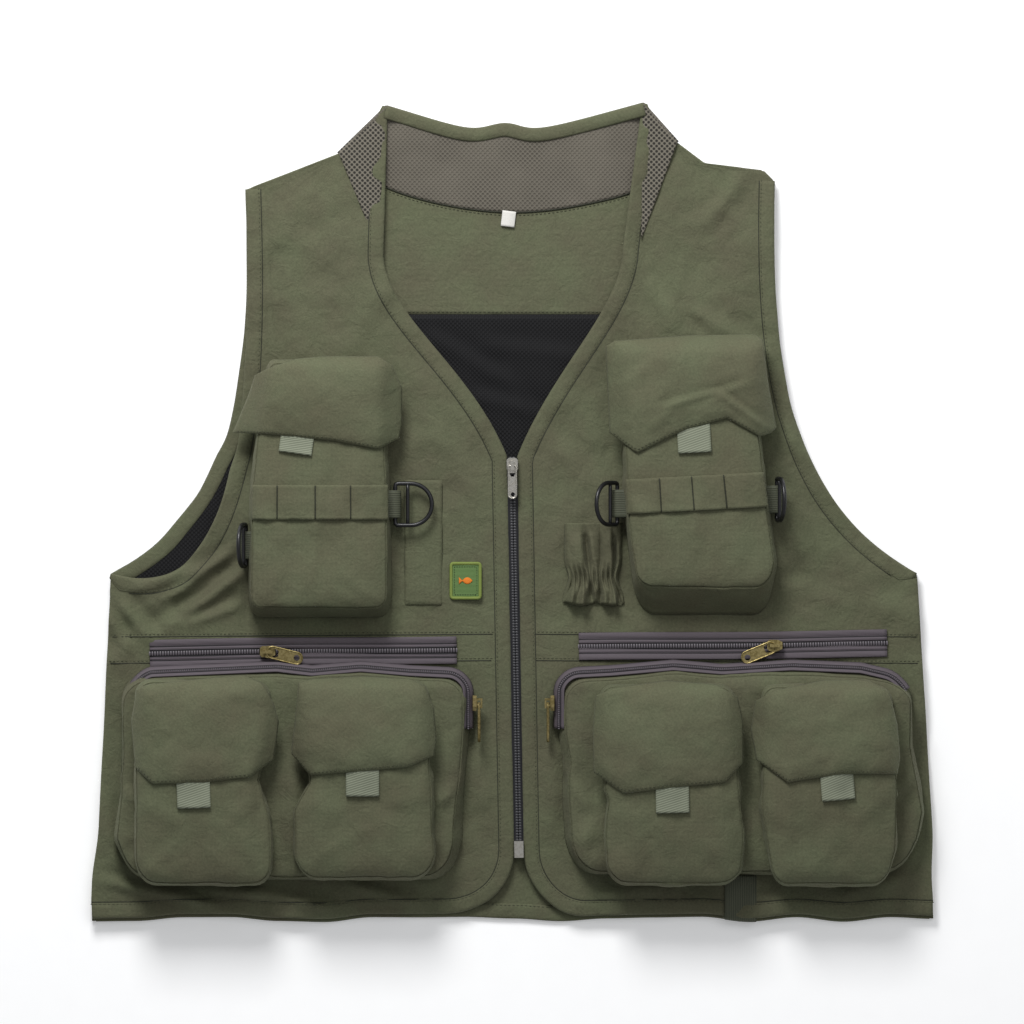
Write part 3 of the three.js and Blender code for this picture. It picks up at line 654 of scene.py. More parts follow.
@dataclass(frozen=True)
class Half:
    """Outline of one half of the vest: places are (outwards from the middle, up), in millimetres."""

    name: str
    out: int
    peak: Pair
    gusset: Pair
    neck: Pair
    neck_handles: tuple[Pair, Pair]
    shoulder: Outline
    armhole_handles: tuple[Pair, Pair]
    folds: tuple[Fold, ...]

    def place(self, line: Array) -> Array:
        """A line of (outwards, up) places as (x, y) in the frame."""
        return np.asarray(line, float) * [self.out, 1]

    def edge_x(self, y: Array) -> Array:
        """Outwards place of the front edge beside the zip."""
        return self.out * zip_x(y) + 3.6

    def front_edge(self) -> Array:
        """From the side along the hem, round the lower corner, up the zip and along the neck to the peak."""
        y = FRONT_HEM + CORNER
        x = float(self.edge_x(y)) + CORNER
        end = (float(self.edge_x(ZIP_END_Y)), ZIP_END_Y)
        low, high = self.neck_handles
        neck = bezier(end, (end[0] + low[0], end[1] + low[1]),
                      (self.neck[0] - high[0], self.neck[1] - high[1]), self.neck)
        corner = arc((x, y), CORNER, 270, 180)
        return np.concatenate([[(HALF_HEM - 0.5, FRONT_HEM)], corner, neck, [self.peak]])

    def armhole(self) -> Array:
        """From the shoulder tip down to the armpit."""
        tip, (high, low) = self.shoulder[-1], self.armhole_handles
        return bezier(tip, (tip[0] - high[0], tip[1] - high[1]),
                      (HALF_CHEST - low[0], ARMPIT_Y + low[1]), (HALF_CHEST, ARMPIT_Y))

    def back_armhole(self) -> Array:
        """The back's armhole, which is cut the same on both sides."""
        tip = self.shoulder[-1]
        return bezier(tip, (tip[0] - 4, tip[1] - 139), (HALF_CHEST - 90, ARMPIT_Y + 50),
                      (HALF_CHEST, ARMPIT_Y))

    def height(self, x: Array, y: Array) -> Array:
        """The front cloth's height: waves, crumples and set creases, kept calm round the waist zip."""
        calm = 1 - 0.75 * np.exp(-(((y + 98) / 16) ** 2)) * (np.abs(x) < 275)
        near_zip = np.clip((np.abs(x - zip_x(y)) - 4) / 25, 0.15, 1)
        waves = 2.1 * crumple(x, y, 62, 11) + 0.95 * crumple(x, y, 19, 23) + 0.22 * value_noise(x, y, 6, 29)
        folds = sum(fold.rise(x, y) for fold in self.folds)
        return ON_FRONT + (waves * near_zip + folds) * calm - 0.4


LEFT = Half(
    "left", 1, (93, 294.5), (90, 196.5), (79, 189.5), ((26, 66), (1, 44)),
    ((118, 266.5), (138, 251.5), (180, 246.5), (188, 238.5)), ((4, 139), (90, 50)),
    (Fold((72, 205), (122, 120), 6, 1.8), Fold((165, 240), (136, 205), 6, 2.4),
     Fold((126, 146), (186, 112), 6, 2.4), Fold((112, 150), (128, 126), 5, 2.4),
     Fold((230, -20), (275, -75), 9, 1.6),
     Fold((297, -120), (280, -180), 6, 1.8), Fold((200, -60), (285, -70), 8, 1.2),
     Fold((30, -160), (26, -230), 7, 1.6), Fold((15, 60), (60, 20), 8, 1.2),
     Fold((232, -276), (290, -262), 5, 2.6), Fold((60, -276), (110, -270), 5, 2.2),
     Fold((165, -60), (215, -52), 6, 1.8), Fold((196, 60), (236, 6), 6, 2.2)),
)
RIGHT = Half(
    "right", -1, (91, 292.5), (96, 190.5), (94, 184.5), ((26, 66), (2, 44)),
    ((126, 258.5), (193, 232.5)), ((5, 142), (98, -29)),
    (Fold((-262, -92), (-190, -40), 5, 6.0), Fold((-282, -66), (-258, -96), 5, 5.0),
     Fold((-250, -62), (-205, -30), 4, 4.0), Fold((-292, -74), (-276, -100), 4, 3.6),
     Fold((-240, -84), (-196, -66), 4, 3.4), Fold((-272, -54), (-226, -40), 4, 3.2),
     Fold((-290, -110), (-262, -82), 7, 2.0), Fold((-200, 30), (-228, -22), 6, 1.8),
     Fold((-80, 175), (-120, 120), 8, 1.4), Fold((-150, 225), (-175, 190), 9, 1.2),
     Fold((-296, -205), (-286, -262), 6, 2.4), Fold((-290, -266), (-215, -284), 4, 5.2),
     Fold((-200, -270), (-130, -284), 4, 4.4), Fold((-118, -268), (-70, -282), 4, 3.2),
     Fold((-250, -272), (-180, -276), 3.4, 3.2),
     Fold((-24, -140), (-22, -215), 7, 1.5), Fold((-60, 60), (-22, 10), 9, 1.2)),
)
HALVES = (RIGHT, LEFT)


@dataclass
class FrontPanels:
    """A front's cloth with its side and shoulder turned down to the back, its facing and its binding."""

    half: Half
    finishes: Finishes
    cell: float = 3.0
    tuck: float = 9.0

    def lean(self, x: Array) -> Array:
        """How far a row dips towards the armpit: none inside 225 mm, then 0.6 mm a millimetre."""
        return 0.6 * 10 * np.log1p(np.exp((x - 225) / 10))

    def row_share(self, row: Array) -> Array:
        """Share of the dip that a row takes, a bell round the armpit."""
        return np.exp(-(((row + 85) / 55) ** 2))

    def row_of(self, line: Array) -> Array:
        """The row that passes through each place, by repeated substitution."""
        row = line[:, 1].copy()
        for _ in range(80):
            row = line[:, 1] - self.lean(line[:, 0]) * self.row_share(row)
        return row

    def cloth(self) -> Shape:
        """Rows from the front edge to the side, with a rounded turn down to the back at the outer end."""
        half = self.half
        edge = half.front_edge()[1:]
        inner = edge + left_of(edge) * -self.tuck
        gusset = np.array([half.gusset, half.shoulder[0]])
        side = np.array([(HALF_HEM, FRONT_HEM + 8), (HALF_CHEST, ARMPIT_Y)])
        outer = np.concatenate([even(side, 8), half.armhole()[::-1][1:], np.array(half.shoulder)[::-1][1:]])
        outer_row = np.maximum.accumulate(self.row_of(outer))
        last = half.shoulder[0][1]
        row = np.linspace(FRONT_HEM + self.tuck, last, int((last - FRONT_HEM) / self.cell))
        order = np.argsort(inner[:, 1])
        x_in = np.maximum(np.interp(row, inner[order, 1], inner[order, 0]),
                          np.interp(row, gusset[:, 1], gusset[:, 0], left=-1e3))
        x_out = np.interp(row, outer_row, outer[:, 0])
        open_edge = ((row > self.row_of(np.array([(HALF_CHEST, ARMPIT_Y)]))[0] + 4)
                     & (row < half.shoulder[-1][1] - 8))
        depth = np.where(open_edge, 1.5, 7.2)
        depth = np.convolve(np.pad(depth, 3, mode="edge"), np.ones(7) / 7, mode="valid")
        share = np.linspace(0, 1, 101)
        x_in = np.minimum(x_in, x_out - 2.2)
        x = x_in[:, None] + (x_out - 2.0 - x_in)[:, None] * share[None]
        y = row[:, None] + self.lean(x) * self.row_share(row)[:, None]
        z = half.height(half.out * x, y)
        turn = np.radians([25, 50, 75, 90, 90])[None]
        reach = np.array([0, 0, 0, 0, 1.0])[None]
        x_turn = x[:, -1:] + 2.0 * np.sin(turn) - 0.6 * reach
        z_turn = z[:, -1:] - 2.0 * (1 - np.cos(turn)) - (depth[:, None] - 2.0).clip(0) * reach
        y_turn = np.repeat(y[:, -1:], 5, 1)
        grid = np.stack([np.concatenate([half.out * x, half.out * x_turn], 1),
                         np.concatenate([y, y_turn], 1), np.concatenate([z, z_turn], 1)], -1)
        return surface(grid)

    def build(self) -> None:
        """Cloth, facing and armhole binding of this front."""
        half, make = self.half, self.finishes
        name = half.name
        on_back = ("back_yoke", "back_lower_panel")
        add_piece(f"{name}_front", [self.cloth()], make.olive, thickness=1.2,
                  replaces=(f"{name}_front_upper", f"{name}_front_lower"), cloth=Cloth(Held.LAID, on_back))
        turned = [(0.1, -3.2), (0.4, -1.6), (0.1, -0.3), (-0.8, 0.35), (-2.2, 0.6), (-6.5, 0.6), (-8.8, 0.55),
                  (-9.4, 0.25), (-9.9, 0.5), (-10.4, 0.1), (-10.7, -0.7)]
        turned = mirrored(turned, half.out)
        edge = even(half.place(half.front_edge()), 3.0)
        add_piece(f"{name}_facing_strip", [ribbon(edge, turned, half.height, 14.0)], make.olive,
                  thickness=0.8, replaces=(f"{name}_facing",), cloth=Cloth(Held.FOLDED, (f"{name}_front",)))
        binding = even(half.place(half.armhole()), 3.0)
        add_piece(f"{name}_armhole_edge", [ribbon(binding, turned, half.height, 9.0)], make.olive,
                  thickness=0.8, replaces=(f"{name}_armhole_binding",),
                  cloth=Cloth(Held.FOLDED, (f"{name}_front",)))


@dataclass
class BackPanels:
    """The back seen from inside: yoke, net, lower cloth, and the facings of its armholes and hem."""

    finishes: Finishes
    cell: float = 4.0
    net_folds: tuple[Fold, ...] = (Fold((-60, 128), (-10, 96), 5, 1.6), Fold((-20, 120), (50, 112), 6, 1.3),
                                   Fold((-30, 84), (25, 70), 5, 1.5), Fold((-5, 100), (18, 52), 5, 1.2))

    def height(self, x: Array, y: Array) -> Array:
        """The back's cloth lies on the ground with low waves."""
        loose = 0.55 * crumple(x, y, 45, 31) * np.clip((TOP - np.abs(y)) / 40, 0, 1)
        net = sum(fold.rise(x, y) for fold in self.net_folds)
        return ON_BACK + 0.35 + loose + net * np.clip((YOKE_Y - 4 - y) / 12, 0, 1)

    def half_width(self, half: Half, y: Array) -> Array:
        """Outwards place of the back's side at a height: side seam, then armhole."""
        hole = half.back_armhole()[::-1]
        line = np.concatenate([[(HALF_HEM, HEM)], hole])
        return np.interp(y, line[:, 1], line[:, 0])

    def panel(self, low: float, high: Array | float, count: int = 120) -> Shape:
        """Rows up to a height, or to a line across the back, where the sides turn in to meet its ends."""
        straight = np.isscalar(high)
        top_x = np.zeros(count) if straight else np.linspace(high[0, 0], high[-1, 0], count)
        top_y = np.full(count, high) if straight else np.interp(top_x, high[:, 0], high[:, 1])
        rows = max(6, int((float(np.max(top_y)) - low) / self.cell))
        rise = np.linspace(0, 1, rows)[:, None]
        y = low + (top_y[None] - low) * rise
        left, right = self.half_width(RIGHT, y[:, 0]), self.half_width(LEFT, y[:, -1])
        x = -left[:, None] + (left + right)[:, None] * np.linspace(0, 1, count)[None]
        if not straight:
            x = x * (1 - rise) + top_x[None] * rise
        return sheet(x, y, self.height(x, y))

    def seam(self) -> Array:
        """The collar's seam over both shoulders, from the right shoulder tip to the left one."""
        middle = [(-95, 235.5), (-50, 221.5), (0, 216), (50, 221.5), (95, 235.5)]
        right = [(-x, y) for x, y in reversed(RIGHT.shoulder)]
        curve = curve_through([right[-1], *middle, LEFT.shoulder[0]])
        return np.concatenate([right[:-1], curve, LEFT.shoulder[1:]])

    def build(self) -> None:
        """The three panels and the facings on them."""
        make = self.finishes
        floor = Cloth(Held.LAID, ("floor",))
        add_piece("back_yoke_cloth", [self.panel(YOKE_Y, self.seam())], make.olive, thickness=1.2,
                  replaces=("back_yoke",), cloth=floor)
        add_piece("back_net", [self.panel(LOWER_Y, YOKE_Y)], make.net, thickness=1.0,
                  replaces=("back_mesh_panel",), cloth=floor)
        add_piece("back_lower_cloth", [self.panel(HEM + 1, LOWER_Y)], make.olive, thickness=1.2,
                  replaces=("back_lower_panel",), cloth=floor)
        hem = even(np.array([(-HALF_HEM + 3, HEM + 0.5), (HALF_HEM - 3, HEM + 0.5)]), 4)
        turned = [(0.0, -0.9), (0.2, 0.4), (1.4, 1.0), (8, 0.9), (10.6, 0.6), (11.4, -0.3)]
        add_piece("back_hem_facing", [ribbon(hem, turned, self.height)], make.olive, thickness=0.7,
                  cloth=Cloth(Held.FOLDED, ("back_lower_cloth",)))
        for half in HALVES:
            line = even(half.place(half.back_armhole()), 3)
            add_piece(f"{half.name}_back_armhole_facing",
                      [ribbon(line, mirrored(turned, -half.out), self.height)], make.olive, thickness=0.7,
                      cloth=Cloth(Held.FOLDED, ("back_net",)))


@dataclass
class Collar:
    """Spacer-mesh collar: a band inside the back neck, a triangle on each front, and its binding."""

    finishes: Finishes
    back: BackPanels

    def edge(self) -> Array:
        """The collar's free edge from peak to peak."""
        points = [(-91, 292.5), (-35, 277), (-6, 280), (23, 277), (93, 294.5)]
        return curve_through(points)

    def band_height(self, share: Array, fall: Array) -> Array:
        """Height of the band: 2 mm at the seam, 5 mm at the edge, and up to the fronts at both ends."""
        end = np.clip((np.abs(share) - 0.86) / 0.14, 0, 1) ** 2
        return 2.4 + 3.0 * (1 - fall) + end * (6.2 - 2.0 * (1 - fall)) + 0.5 * np.sin(6 * share) * (1 - fall)

    def build(self) -> None:
        """Band, triangles and binding."""
        make = self.finishes
        edge, seam = self.edge(), self.back.seam()
        inside = seam[(seam[:, 0] >= -126.1) & (seam[:, 0] <= 118.1)]
        count = 110
        share = np.linspace(-1, 1, count)
        top = np.stack([np.interp(share, np.linspace(-1, 1, len(edge)), edge[:, k]) for k in (0, 1)], -1)
        low = np.stack([np.interp(share, np.linspace(-1, 1, len(inside)), inside[:, k]) for k in (0, 1)], -1)
        fall = np.linspace(0, 1, 26)[:, None]
        plan = top[None] * (1 - fall[..., None]) + low[None] * fall[..., None]
        z = self.band_height(share[None], fall) + 0.35 * crumple(plan[..., 0], plan[..., 1], 22, 41)
        band = surface(np.concatenate([plan, z[..., None]], -1))
        add_piece("collar_band", [band], make.collar, thickness=1.4, replaces=("collar_mesh",),
                  cloth=Cloth(Held.FOLDED, ("back_yoke_cloth",)))
        roll = [(-0.2, -3.0), (0.6, -1.2), (0.4, 0.4), (-1.2, 1.3), (-4.5, 1.4), (-8.2, 1.1), (-9.2, 0.3),
                (-9.5, -0.6)]
        line = even(edge, 3)

        def on_band(x: Array, _: Array) -> Array:
            """The band's height along its free edge."""
            return self.band_height(np.asarray(x) / 92.0, np.zeros_like(np.asarray(x)))

        add_piece("collar_edge_binding", [ribbon(line, roll, on_band)], make.olive, thickness=0.8,
                  replaces=("collar_binding",), cloth=Cloth(Held.FOLDED, ("collar_band",)))
        for half in HALVES:
            peak, low_end, out_end = (np.array(p) for p in (half.peak, half.gusset, half.shoulder[0]))
            low_end = low_end + [2.0, 0.0]
            along = np.linspace(0, 1, 30)[:, None, None]
            across = np.linspace(0.0, 1, 20)[None, :, None]
            flat = peak + along * (low_end + across * (out_end - low_end) - peak)
            z = ON_FRONT - 0.2 + 0.5 * np.sin(math.pi * np.clip(across, 0, 1)) + 0 * along
            drop = np.array([1.2, 3.5, 6.8])[None, :, None]
            turn = flat[:, -1:] + np.array([1.0, 0.6]) * np.array([0.8, 1.2, 0.8])[None, :, None]
            wall = np.concatenate([turn, z[:, -1:] - drop + 0 * along], -1)
            grid = np.concatenate([np.concatenate([flat, np.broadcast_to(z, (30, 20, 1))], -1), wall], 1)
            grid[..., 0] *= half.out
            add_piece(f"{half.name}_collar_gusset", [surface(grid)], make.gusset, thickness=1.2,
                      cloth=Cloth(Held.FOLDED, (f"{half.name}_front",)))
        tag = even(np.array([(-3.0, 217.0), (-4.4, 205.8)]), 1.5)
        flat_tag = ribbon(tag, [(-5.0, 1.6), (-4.6, 1.9), (0, 2.4), (4.6, 1.9), (5.0, 1.6)], self.back.height)
        add_piece("size_label", [flat_tag], make.label, thickness=0.4,
                  cloth=Cloth(Held.FOLDED, ("back_yoke_cloth",)))


# ---- Pockets ---------------------------------------------------------------------------------


def cad_box(node: str) -> tuple[Array, Array]:
    """Lowest and highest corner of a CAD node in millimetres."""
    low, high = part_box(node)
    return np.array(low) * 1000, np.array(high) * 1000


@dataclass
class Bag:
    """A stuffed pocket: near-upright sides that slope in by an amount of their own, and a crowned front.

    inset is how far the front's edge lies inside the foot at the left, right, bottom and top.
    """

    x: Pair
    y: Pair
    z: Pair
    inset: tuple[float, float, float, float]
    corner: float
    crown: float
    seed: int
    slack: float = 0.8
    wave: Outline = ()
    left: Outline = ((0, 0), (1, 0))
    right: Outline = ((0, 0), (1, 0))
    pucker: float = 0.9
    bulge: float = 0.8
    sag: float = 0.0
    creased: float = 1.0

    def drop(self, y: Array) -> Array:
        """How far the front falls towards the foot, from two thirds up and a little faster lower down."""
        tall = self.y[1] - self.y[0]
        return self.sag * np.clip((self.y[0] + 0.66 * tall - y) / (0.66 * tall), 0, 1) ** 1.3

    def folds(self) -> list[Fold]:
        """Soft folds of the front: three that hang from its middle, and one out of each corner."""
        pick = np.random.default_rng(self.seed)
        wide, tall = self.x[1] - self.x[0], self.y[1] - self.y[0]
        made = []
        for share in (0.22, 0.5, 0.78):
            x = self.x[0] + wide * (share + pick.uniform(-0.06, 0.06))
            low = self.y[0] + tall * pick.uniform(0.1, 0.2)
            made.append(Fold((x, self.y[0] + tall * 0.62), (x + pick.uniform(-12, 12), low),
                             pick.uniform(5, 8), self.creased * pick.uniform(0.6, 1.3)))
        for out in (0, 1):
            x, inward = self.x[out], 1 - 2 * out
            made.append(Fold((x + inward * 6, self.y[0] + 8),
                             (x + inward * pick.uniform(26, 38), self.y[0] + pick.uniform(26, 44)),
                             pick.uniform(4, 6), self.creased * pick.uniform(0.35, 0.6)))
            made.append(Fold((x + inward * 3, self.y[0] + tall * pick.uniform(0.4, 0.5)),
                             (x + inward * pick.uniform(24, 34), self.y[0] + tall * pick.uniform(0.3, 0.4)),
                             pick.uniform(4, 6), self.creased * pick.uniform(0.5, 1.0)))
        return made

    def squared(self, x: Array, y: Array) -> Array:
        """x of a place as if both sides of the pocket stood straight."""
        out = np.clip((x - self.x[0]) / (self.x[1] - self.x[0]), 0, 1)
        return x - self.shift(y, 0) * (1 - out) - self.shift(y, 1) * out

    def shift(self, y: Array, side: int) -> Array:
        """How far the left or right side stands from the box at a height."""
        return np.interp(y, *zip(*(self.left, self.right)[side]))

    def distance(self, x: Array, y: Array) -> Array:
        """How far a place lies inside the front's edge, negative outside it."""
        return -4.0 * np.log(sum(np.exp(-np.clip(gap, -30, 200) / 4.0) for gap in self.gaps(x, y)))

    def gaps(self, x: Array, y: Array) -> list[Array]:
        """Distances inwards from the front's four edges."""
        left, right, bottom, top = self.inset
        x = self.squared(x, y)
        return [x - self.x[0] - left, self.x[1] - right - x, y - self.y[0] - bottom, self.y[1] - top - y]

    def top(self, x: Array, y: Array) -> Array:
        """The front's height: rounded over within 3 mm of its edge, crowned by a product of four rises."""
        inside = np.maximum(self.distance(x, y), 0)
        loose = self.slack * crumple(x, y, 26, self.seed) + sum(fold.rise(x, y) for fold in self.folds())
        _, _, foot, head = self.gaps(x, y)
        gather = (value_noise(x, 0.12 * y, 6, self.seed + 3)
                  + 0.6 * value_noise(x, 0.2 * y, 3.4, self.seed + 4))
        loose = loose + self.pucker * gather * (np.exp(-np.abs(head) / 12) + 0.8 * np.exp(-np.abs(foot) / 9))
        loose = loose * np.minimum(inside / 7, 1)
        rise = np.prod([1 - np.exp(-np.maximum(gap, 0) / 15) for gap in self.gaps(x, y)], axis=0)
        return self.z[1] - 2.4 * np.exp(-inside / 3) + 1.25 * self.crown * rise + loose - self.drop(y)

    def wobbled(self, ring: Array, z: float, share: float) -> Array:
        """A ring at a height, pushed in and out from the pocket's middle by noise round it."""
        centre = np.array([sum(self.x) / 2, sum(self.y) / 2])
        around = np.arctan2(ring[:, 1] - centre[1], ring[:, 0] - centre[0]) * 60
        push = 1.7 * share * crumple(around, 1.4 * np.full(len(ring), z), 19, self.seed + 5)
        away = (ring - centre) / np.linalg.norm(ring - centre, axis=1, keepdims=True).clip(1e-6)
        return at_height(ring + away * push[:, None], z)

    def shell(self) -> Shape:
        """Rings from the foot up the sides, a pinched seam, and rings inwards over the front."""
        left, right, bottom, top = self.inset
        rings = []
        low, high = self.z
        for share in (0, 0.12, 0.3, 0.5, 0.7, 0.86, 0.95, 1.0):
            bulge = self.bulge * math.sin(math.pi * share)
            ring = box_ring(self.x[0] + left * share - bulge, self.x[1] - right * share + bulge,
                            self.y[0] + bottom * share - bulge, self.y[1] - top * share + bulge, self.corner)
            loose = math.sin(0.8 * math.pi * share)
            rings.append(self.wobbled(ring, low + (high - 2.6 - low) * share, loose))
        x0, x1 = self.x[0] + left, self.x[1] - right
        y0, y1 = self.y[0] + bottom, self.y[1] - top
        pinch = box_ring(x0 + 0.7, x1 - 0.7, y0 + 0.7, y1 - 0.7, self.corner - 1)
        rings.append(self.wobbled(pinch, high - 3.4, 0.59))
        reach = min(x1 - x0, y1 - y0) / 2
        steps = np.concatenate([[0.9, 1.6, 2.6, 4.2, 6.5], np.arange(9.5, reach, 3.2), [reach]])
        for step in steps[steps <= reach]:
            ring = box_ring(x0 + step, x1 - step, y0 + step, y1 - step, max(self.corner - step, 1.5))
            rings.append(self.wobbled(ring, high - 2.0, 0.59 * math.exp(-step / 12)))
            rings[-1][:, 2] = -1.0
        grid = np.stack(rings)
        out = np.clip((grid[..., 0] - self.x[0]) / (self.x[1] - self.x[0]), 0, 1)
        grid[..., 0] += self.shift(grid[..., 1], 0) * (1 - out) + self.shift(grid[..., 1], 1) * out
        front = grid[..., 2] < 0
        walls = grid[..., 2] - self.drop(grid[..., 1]) * (grid[..., 2] - low) / (high - low)
        grid[..., 2] = np.where(front, self.top(grid[..., 0], grid[..., 1]), walls)
        if self.wave:
            rise = np.interp(grid[..., 0], *zip(*self.wave))
            high_part = np.clip((grid[..., 1] - (self.y[1] - 30)) / 25, 0, 1)
            grid[..., 1] += rise * high_part
        grid = np.concatenate([grid, grid[:, :1]], axis=1)
        skin = surface(grid)
        on_front = np.repeat(np.arange(len(grid) - 1) >= 8, grid.shape[1] - 1)
        skin.uv[on_front] = skin.points[skin.faces[on_front]][..., :2] * MM
        return skin


@dataclass
class FlapShape:
    """A flap's outline by the moves of its four edges from its box: (share along, millimetres) pairs.

    Shares run left to right and top to bottom; moves are to the right and up.
    """

    top: Outline
    bottom: Outline
    left: Outline
    right: Outline
    puff: float = 2.5
    folds: tuple[Fold, ...] = ()


@dataclass
class Flap:
    """A flap sewn above its pocket's mouth and hanging down its front, with a webbing tab at its edge."""

    name: str
    body: str
    bag: Bag
    shape: FlapShape
    finishes: Finishes
    tab_tilt: float = 0.0
    lift: float = 3.0
    tab_cut: float = 0.0

    def plan(self) -> tuple[Array, Array, Array, Array]:
        """x and y over a grid of shares across and down, from the four edge lines."""
        low, high = cad_box(f"{self.name}_flap")
        shape = self.shape
        down = np.concatenate([[0, 0.012, 0.03, 0.06], np.linspace(0.1, 0.97, 28), [0.985, 1.0]])[:, None]
        across = np.concatenate([[0, 0.012, 0.03], np.linspace(0.06, 0.94, 34), [0.97, 0.988, 1.0]])[None]
        left = low[0] + np.interp(down, *zip(*shape.left))
        right = high[0] + np.interp(down, *zip(*shape.right))
        top = high[1] + np.interp(across, *zip(*shape.top))
        bottom = low[1] + np.interp(across, *zip(*shape.bottom))
        return left + (right - left) * across, top + (bottom - top) * down, across, down

    def height(self, x: Array, y: Array, across: Array, down: Array) -> Array:
        """Over the pocket's front, puffed in its middle, hanging down past its sides and over its top."""
        bag = self.bag
        outside = np.maximum(-bag.distance(x, y), 0)
        puff = (self.shape.puff * (np.sin(math.pi * across) ** 0.6)
                * np.sin(math.pi * np.clip(down, 0, 1)) ** 0.5)
        _, high = cad_box(f"{self.name}_flap")
        from_top = np.clip((high[1] + 2 - y) / 9, 0, 1)
        over = 9.0 * (1 - np.sqrt(1 - (1 - from_top) ** 2))
        edge = np.minimum(np.minimum(across, 1 - across) * 100, (1 - down) * 70)
        curl = 1.2 * np.exp(-edge / 3.0)
        folds = sum(fold.rise(x, y) for fold in self.shape.folds)
        loose = 0.9 * crumple(x, y, 24, bag.seed + 9) * np.clip(edge / 8, 0.2, 1)
        loose += 0.55 * value_noise(x, 0.25 * y, 6, bag.seed + 12) * np.exp(-edge / 9)
        return bag.top(x, y) + self.lift + puff - 0.8 * outside - over - curl + folds + loose

    def build(self) -> None:
        """Flap, its edge stitching, and the tab."""
        make = self.finishes
        x, y, across, down = self.plan()
        z = self.height(x, y, across, down)
        grid = np.stack([x, y, z], -1)
        # The flap's finish is the olive canvas painted a shade lighter for the light.
        flap = add_piece(f"{self.name}_flap_cloth", [surface(grid)], make.flap, body=None, thickness=1.7,
                         replaces=(f"{self.name}_flap",),
                         cloth=Cloth(Held.DRAPED, (self.name,)))
        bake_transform(flap)
        row = np.argmin(np.abs(down[:, 0] - 0.955))
        seam = grid[row, 2:-2].copy()
        seam[:, 2] += 0.3
        tab_low, tab_high = cad_box(f"{self.name}_tab")
        middle = (tab_low[0] + tab_high[0]) / 2
        edge_y = float(np.interp(middle, x[-1], y[-1]))
        length = tab_high[1] - tab_low[1] - self.tab_cut
        along, wide = np.meshgrid(np.linspace(-4, length, 14), np.linspace(-11.9, 11.9, 16), indexing="ij")
        tilt = math.radians(self.tab_tilt)
        tx = middle + wide * math.cos(tilt) + along * math.sin(tilt)
        ty = edge_y - along * math.cos(tilt) + wide * math.sin(tilt)
        lifted = 0.9 * np.clip(along / length, 0, 1) ** 2
        tz = self.bag.top(tx, ty) + 1.7 + lifted + 0.2 * np.cos(wide / 4) - 0.25 * np.clip(-along, 0, 4)
        add_piece(f"{self.name}_tab_webbing", [sheet(tx, ty, tz)], make.tab, body=self.body,
                  thickness=1.2, replaces=(f"{self.name}_tab",),
                  cloth=Cloth(Held.FOLDED, (f"{self.name}_flap_cloth",)))
        add_piece(f"{self.name}_flap_stitching", [stitches(seam)], make.thread, body=self.body)


@dataclass
class SmallPocket:
    """One of the four stuffed flap pockets on the cargo pockets."""

    name: str
    finishes: Finishes
    shape: FlapShape
    seed: int
    tab_tilt: float
    left: Outline
    right: Outline
    sag: float

    def build(self) -> None:
        """Body, flap and tab."""
        low, high = cad_box(self.name)
        bag = Bag((low[0], high[0]), (low[1], high[1] - 1), (24.0, 50.0), (1.0, 1.0, 2.6, 1.5), 12.0, 4.6,
                  self.seed, slack=1.2, left=self.left, right=self.right, sag=self.sag)
        # The body's finish is the olive canvas painted a shade lighter for the light.
        add_piece(f"{self.name}_body", [bag.shell()], self.finishes.flap, thickness=1.2,
                  replaces=(self.name,),
                  cloth=Cloth(Held.STRETCHED, (f"{self.name.split('_')[0]}_cargo_pocket_body",)))
        Flap(self.name, f"{self.name}_flap", bag, self.shape, self.finishes, self.tab_tilt).build()


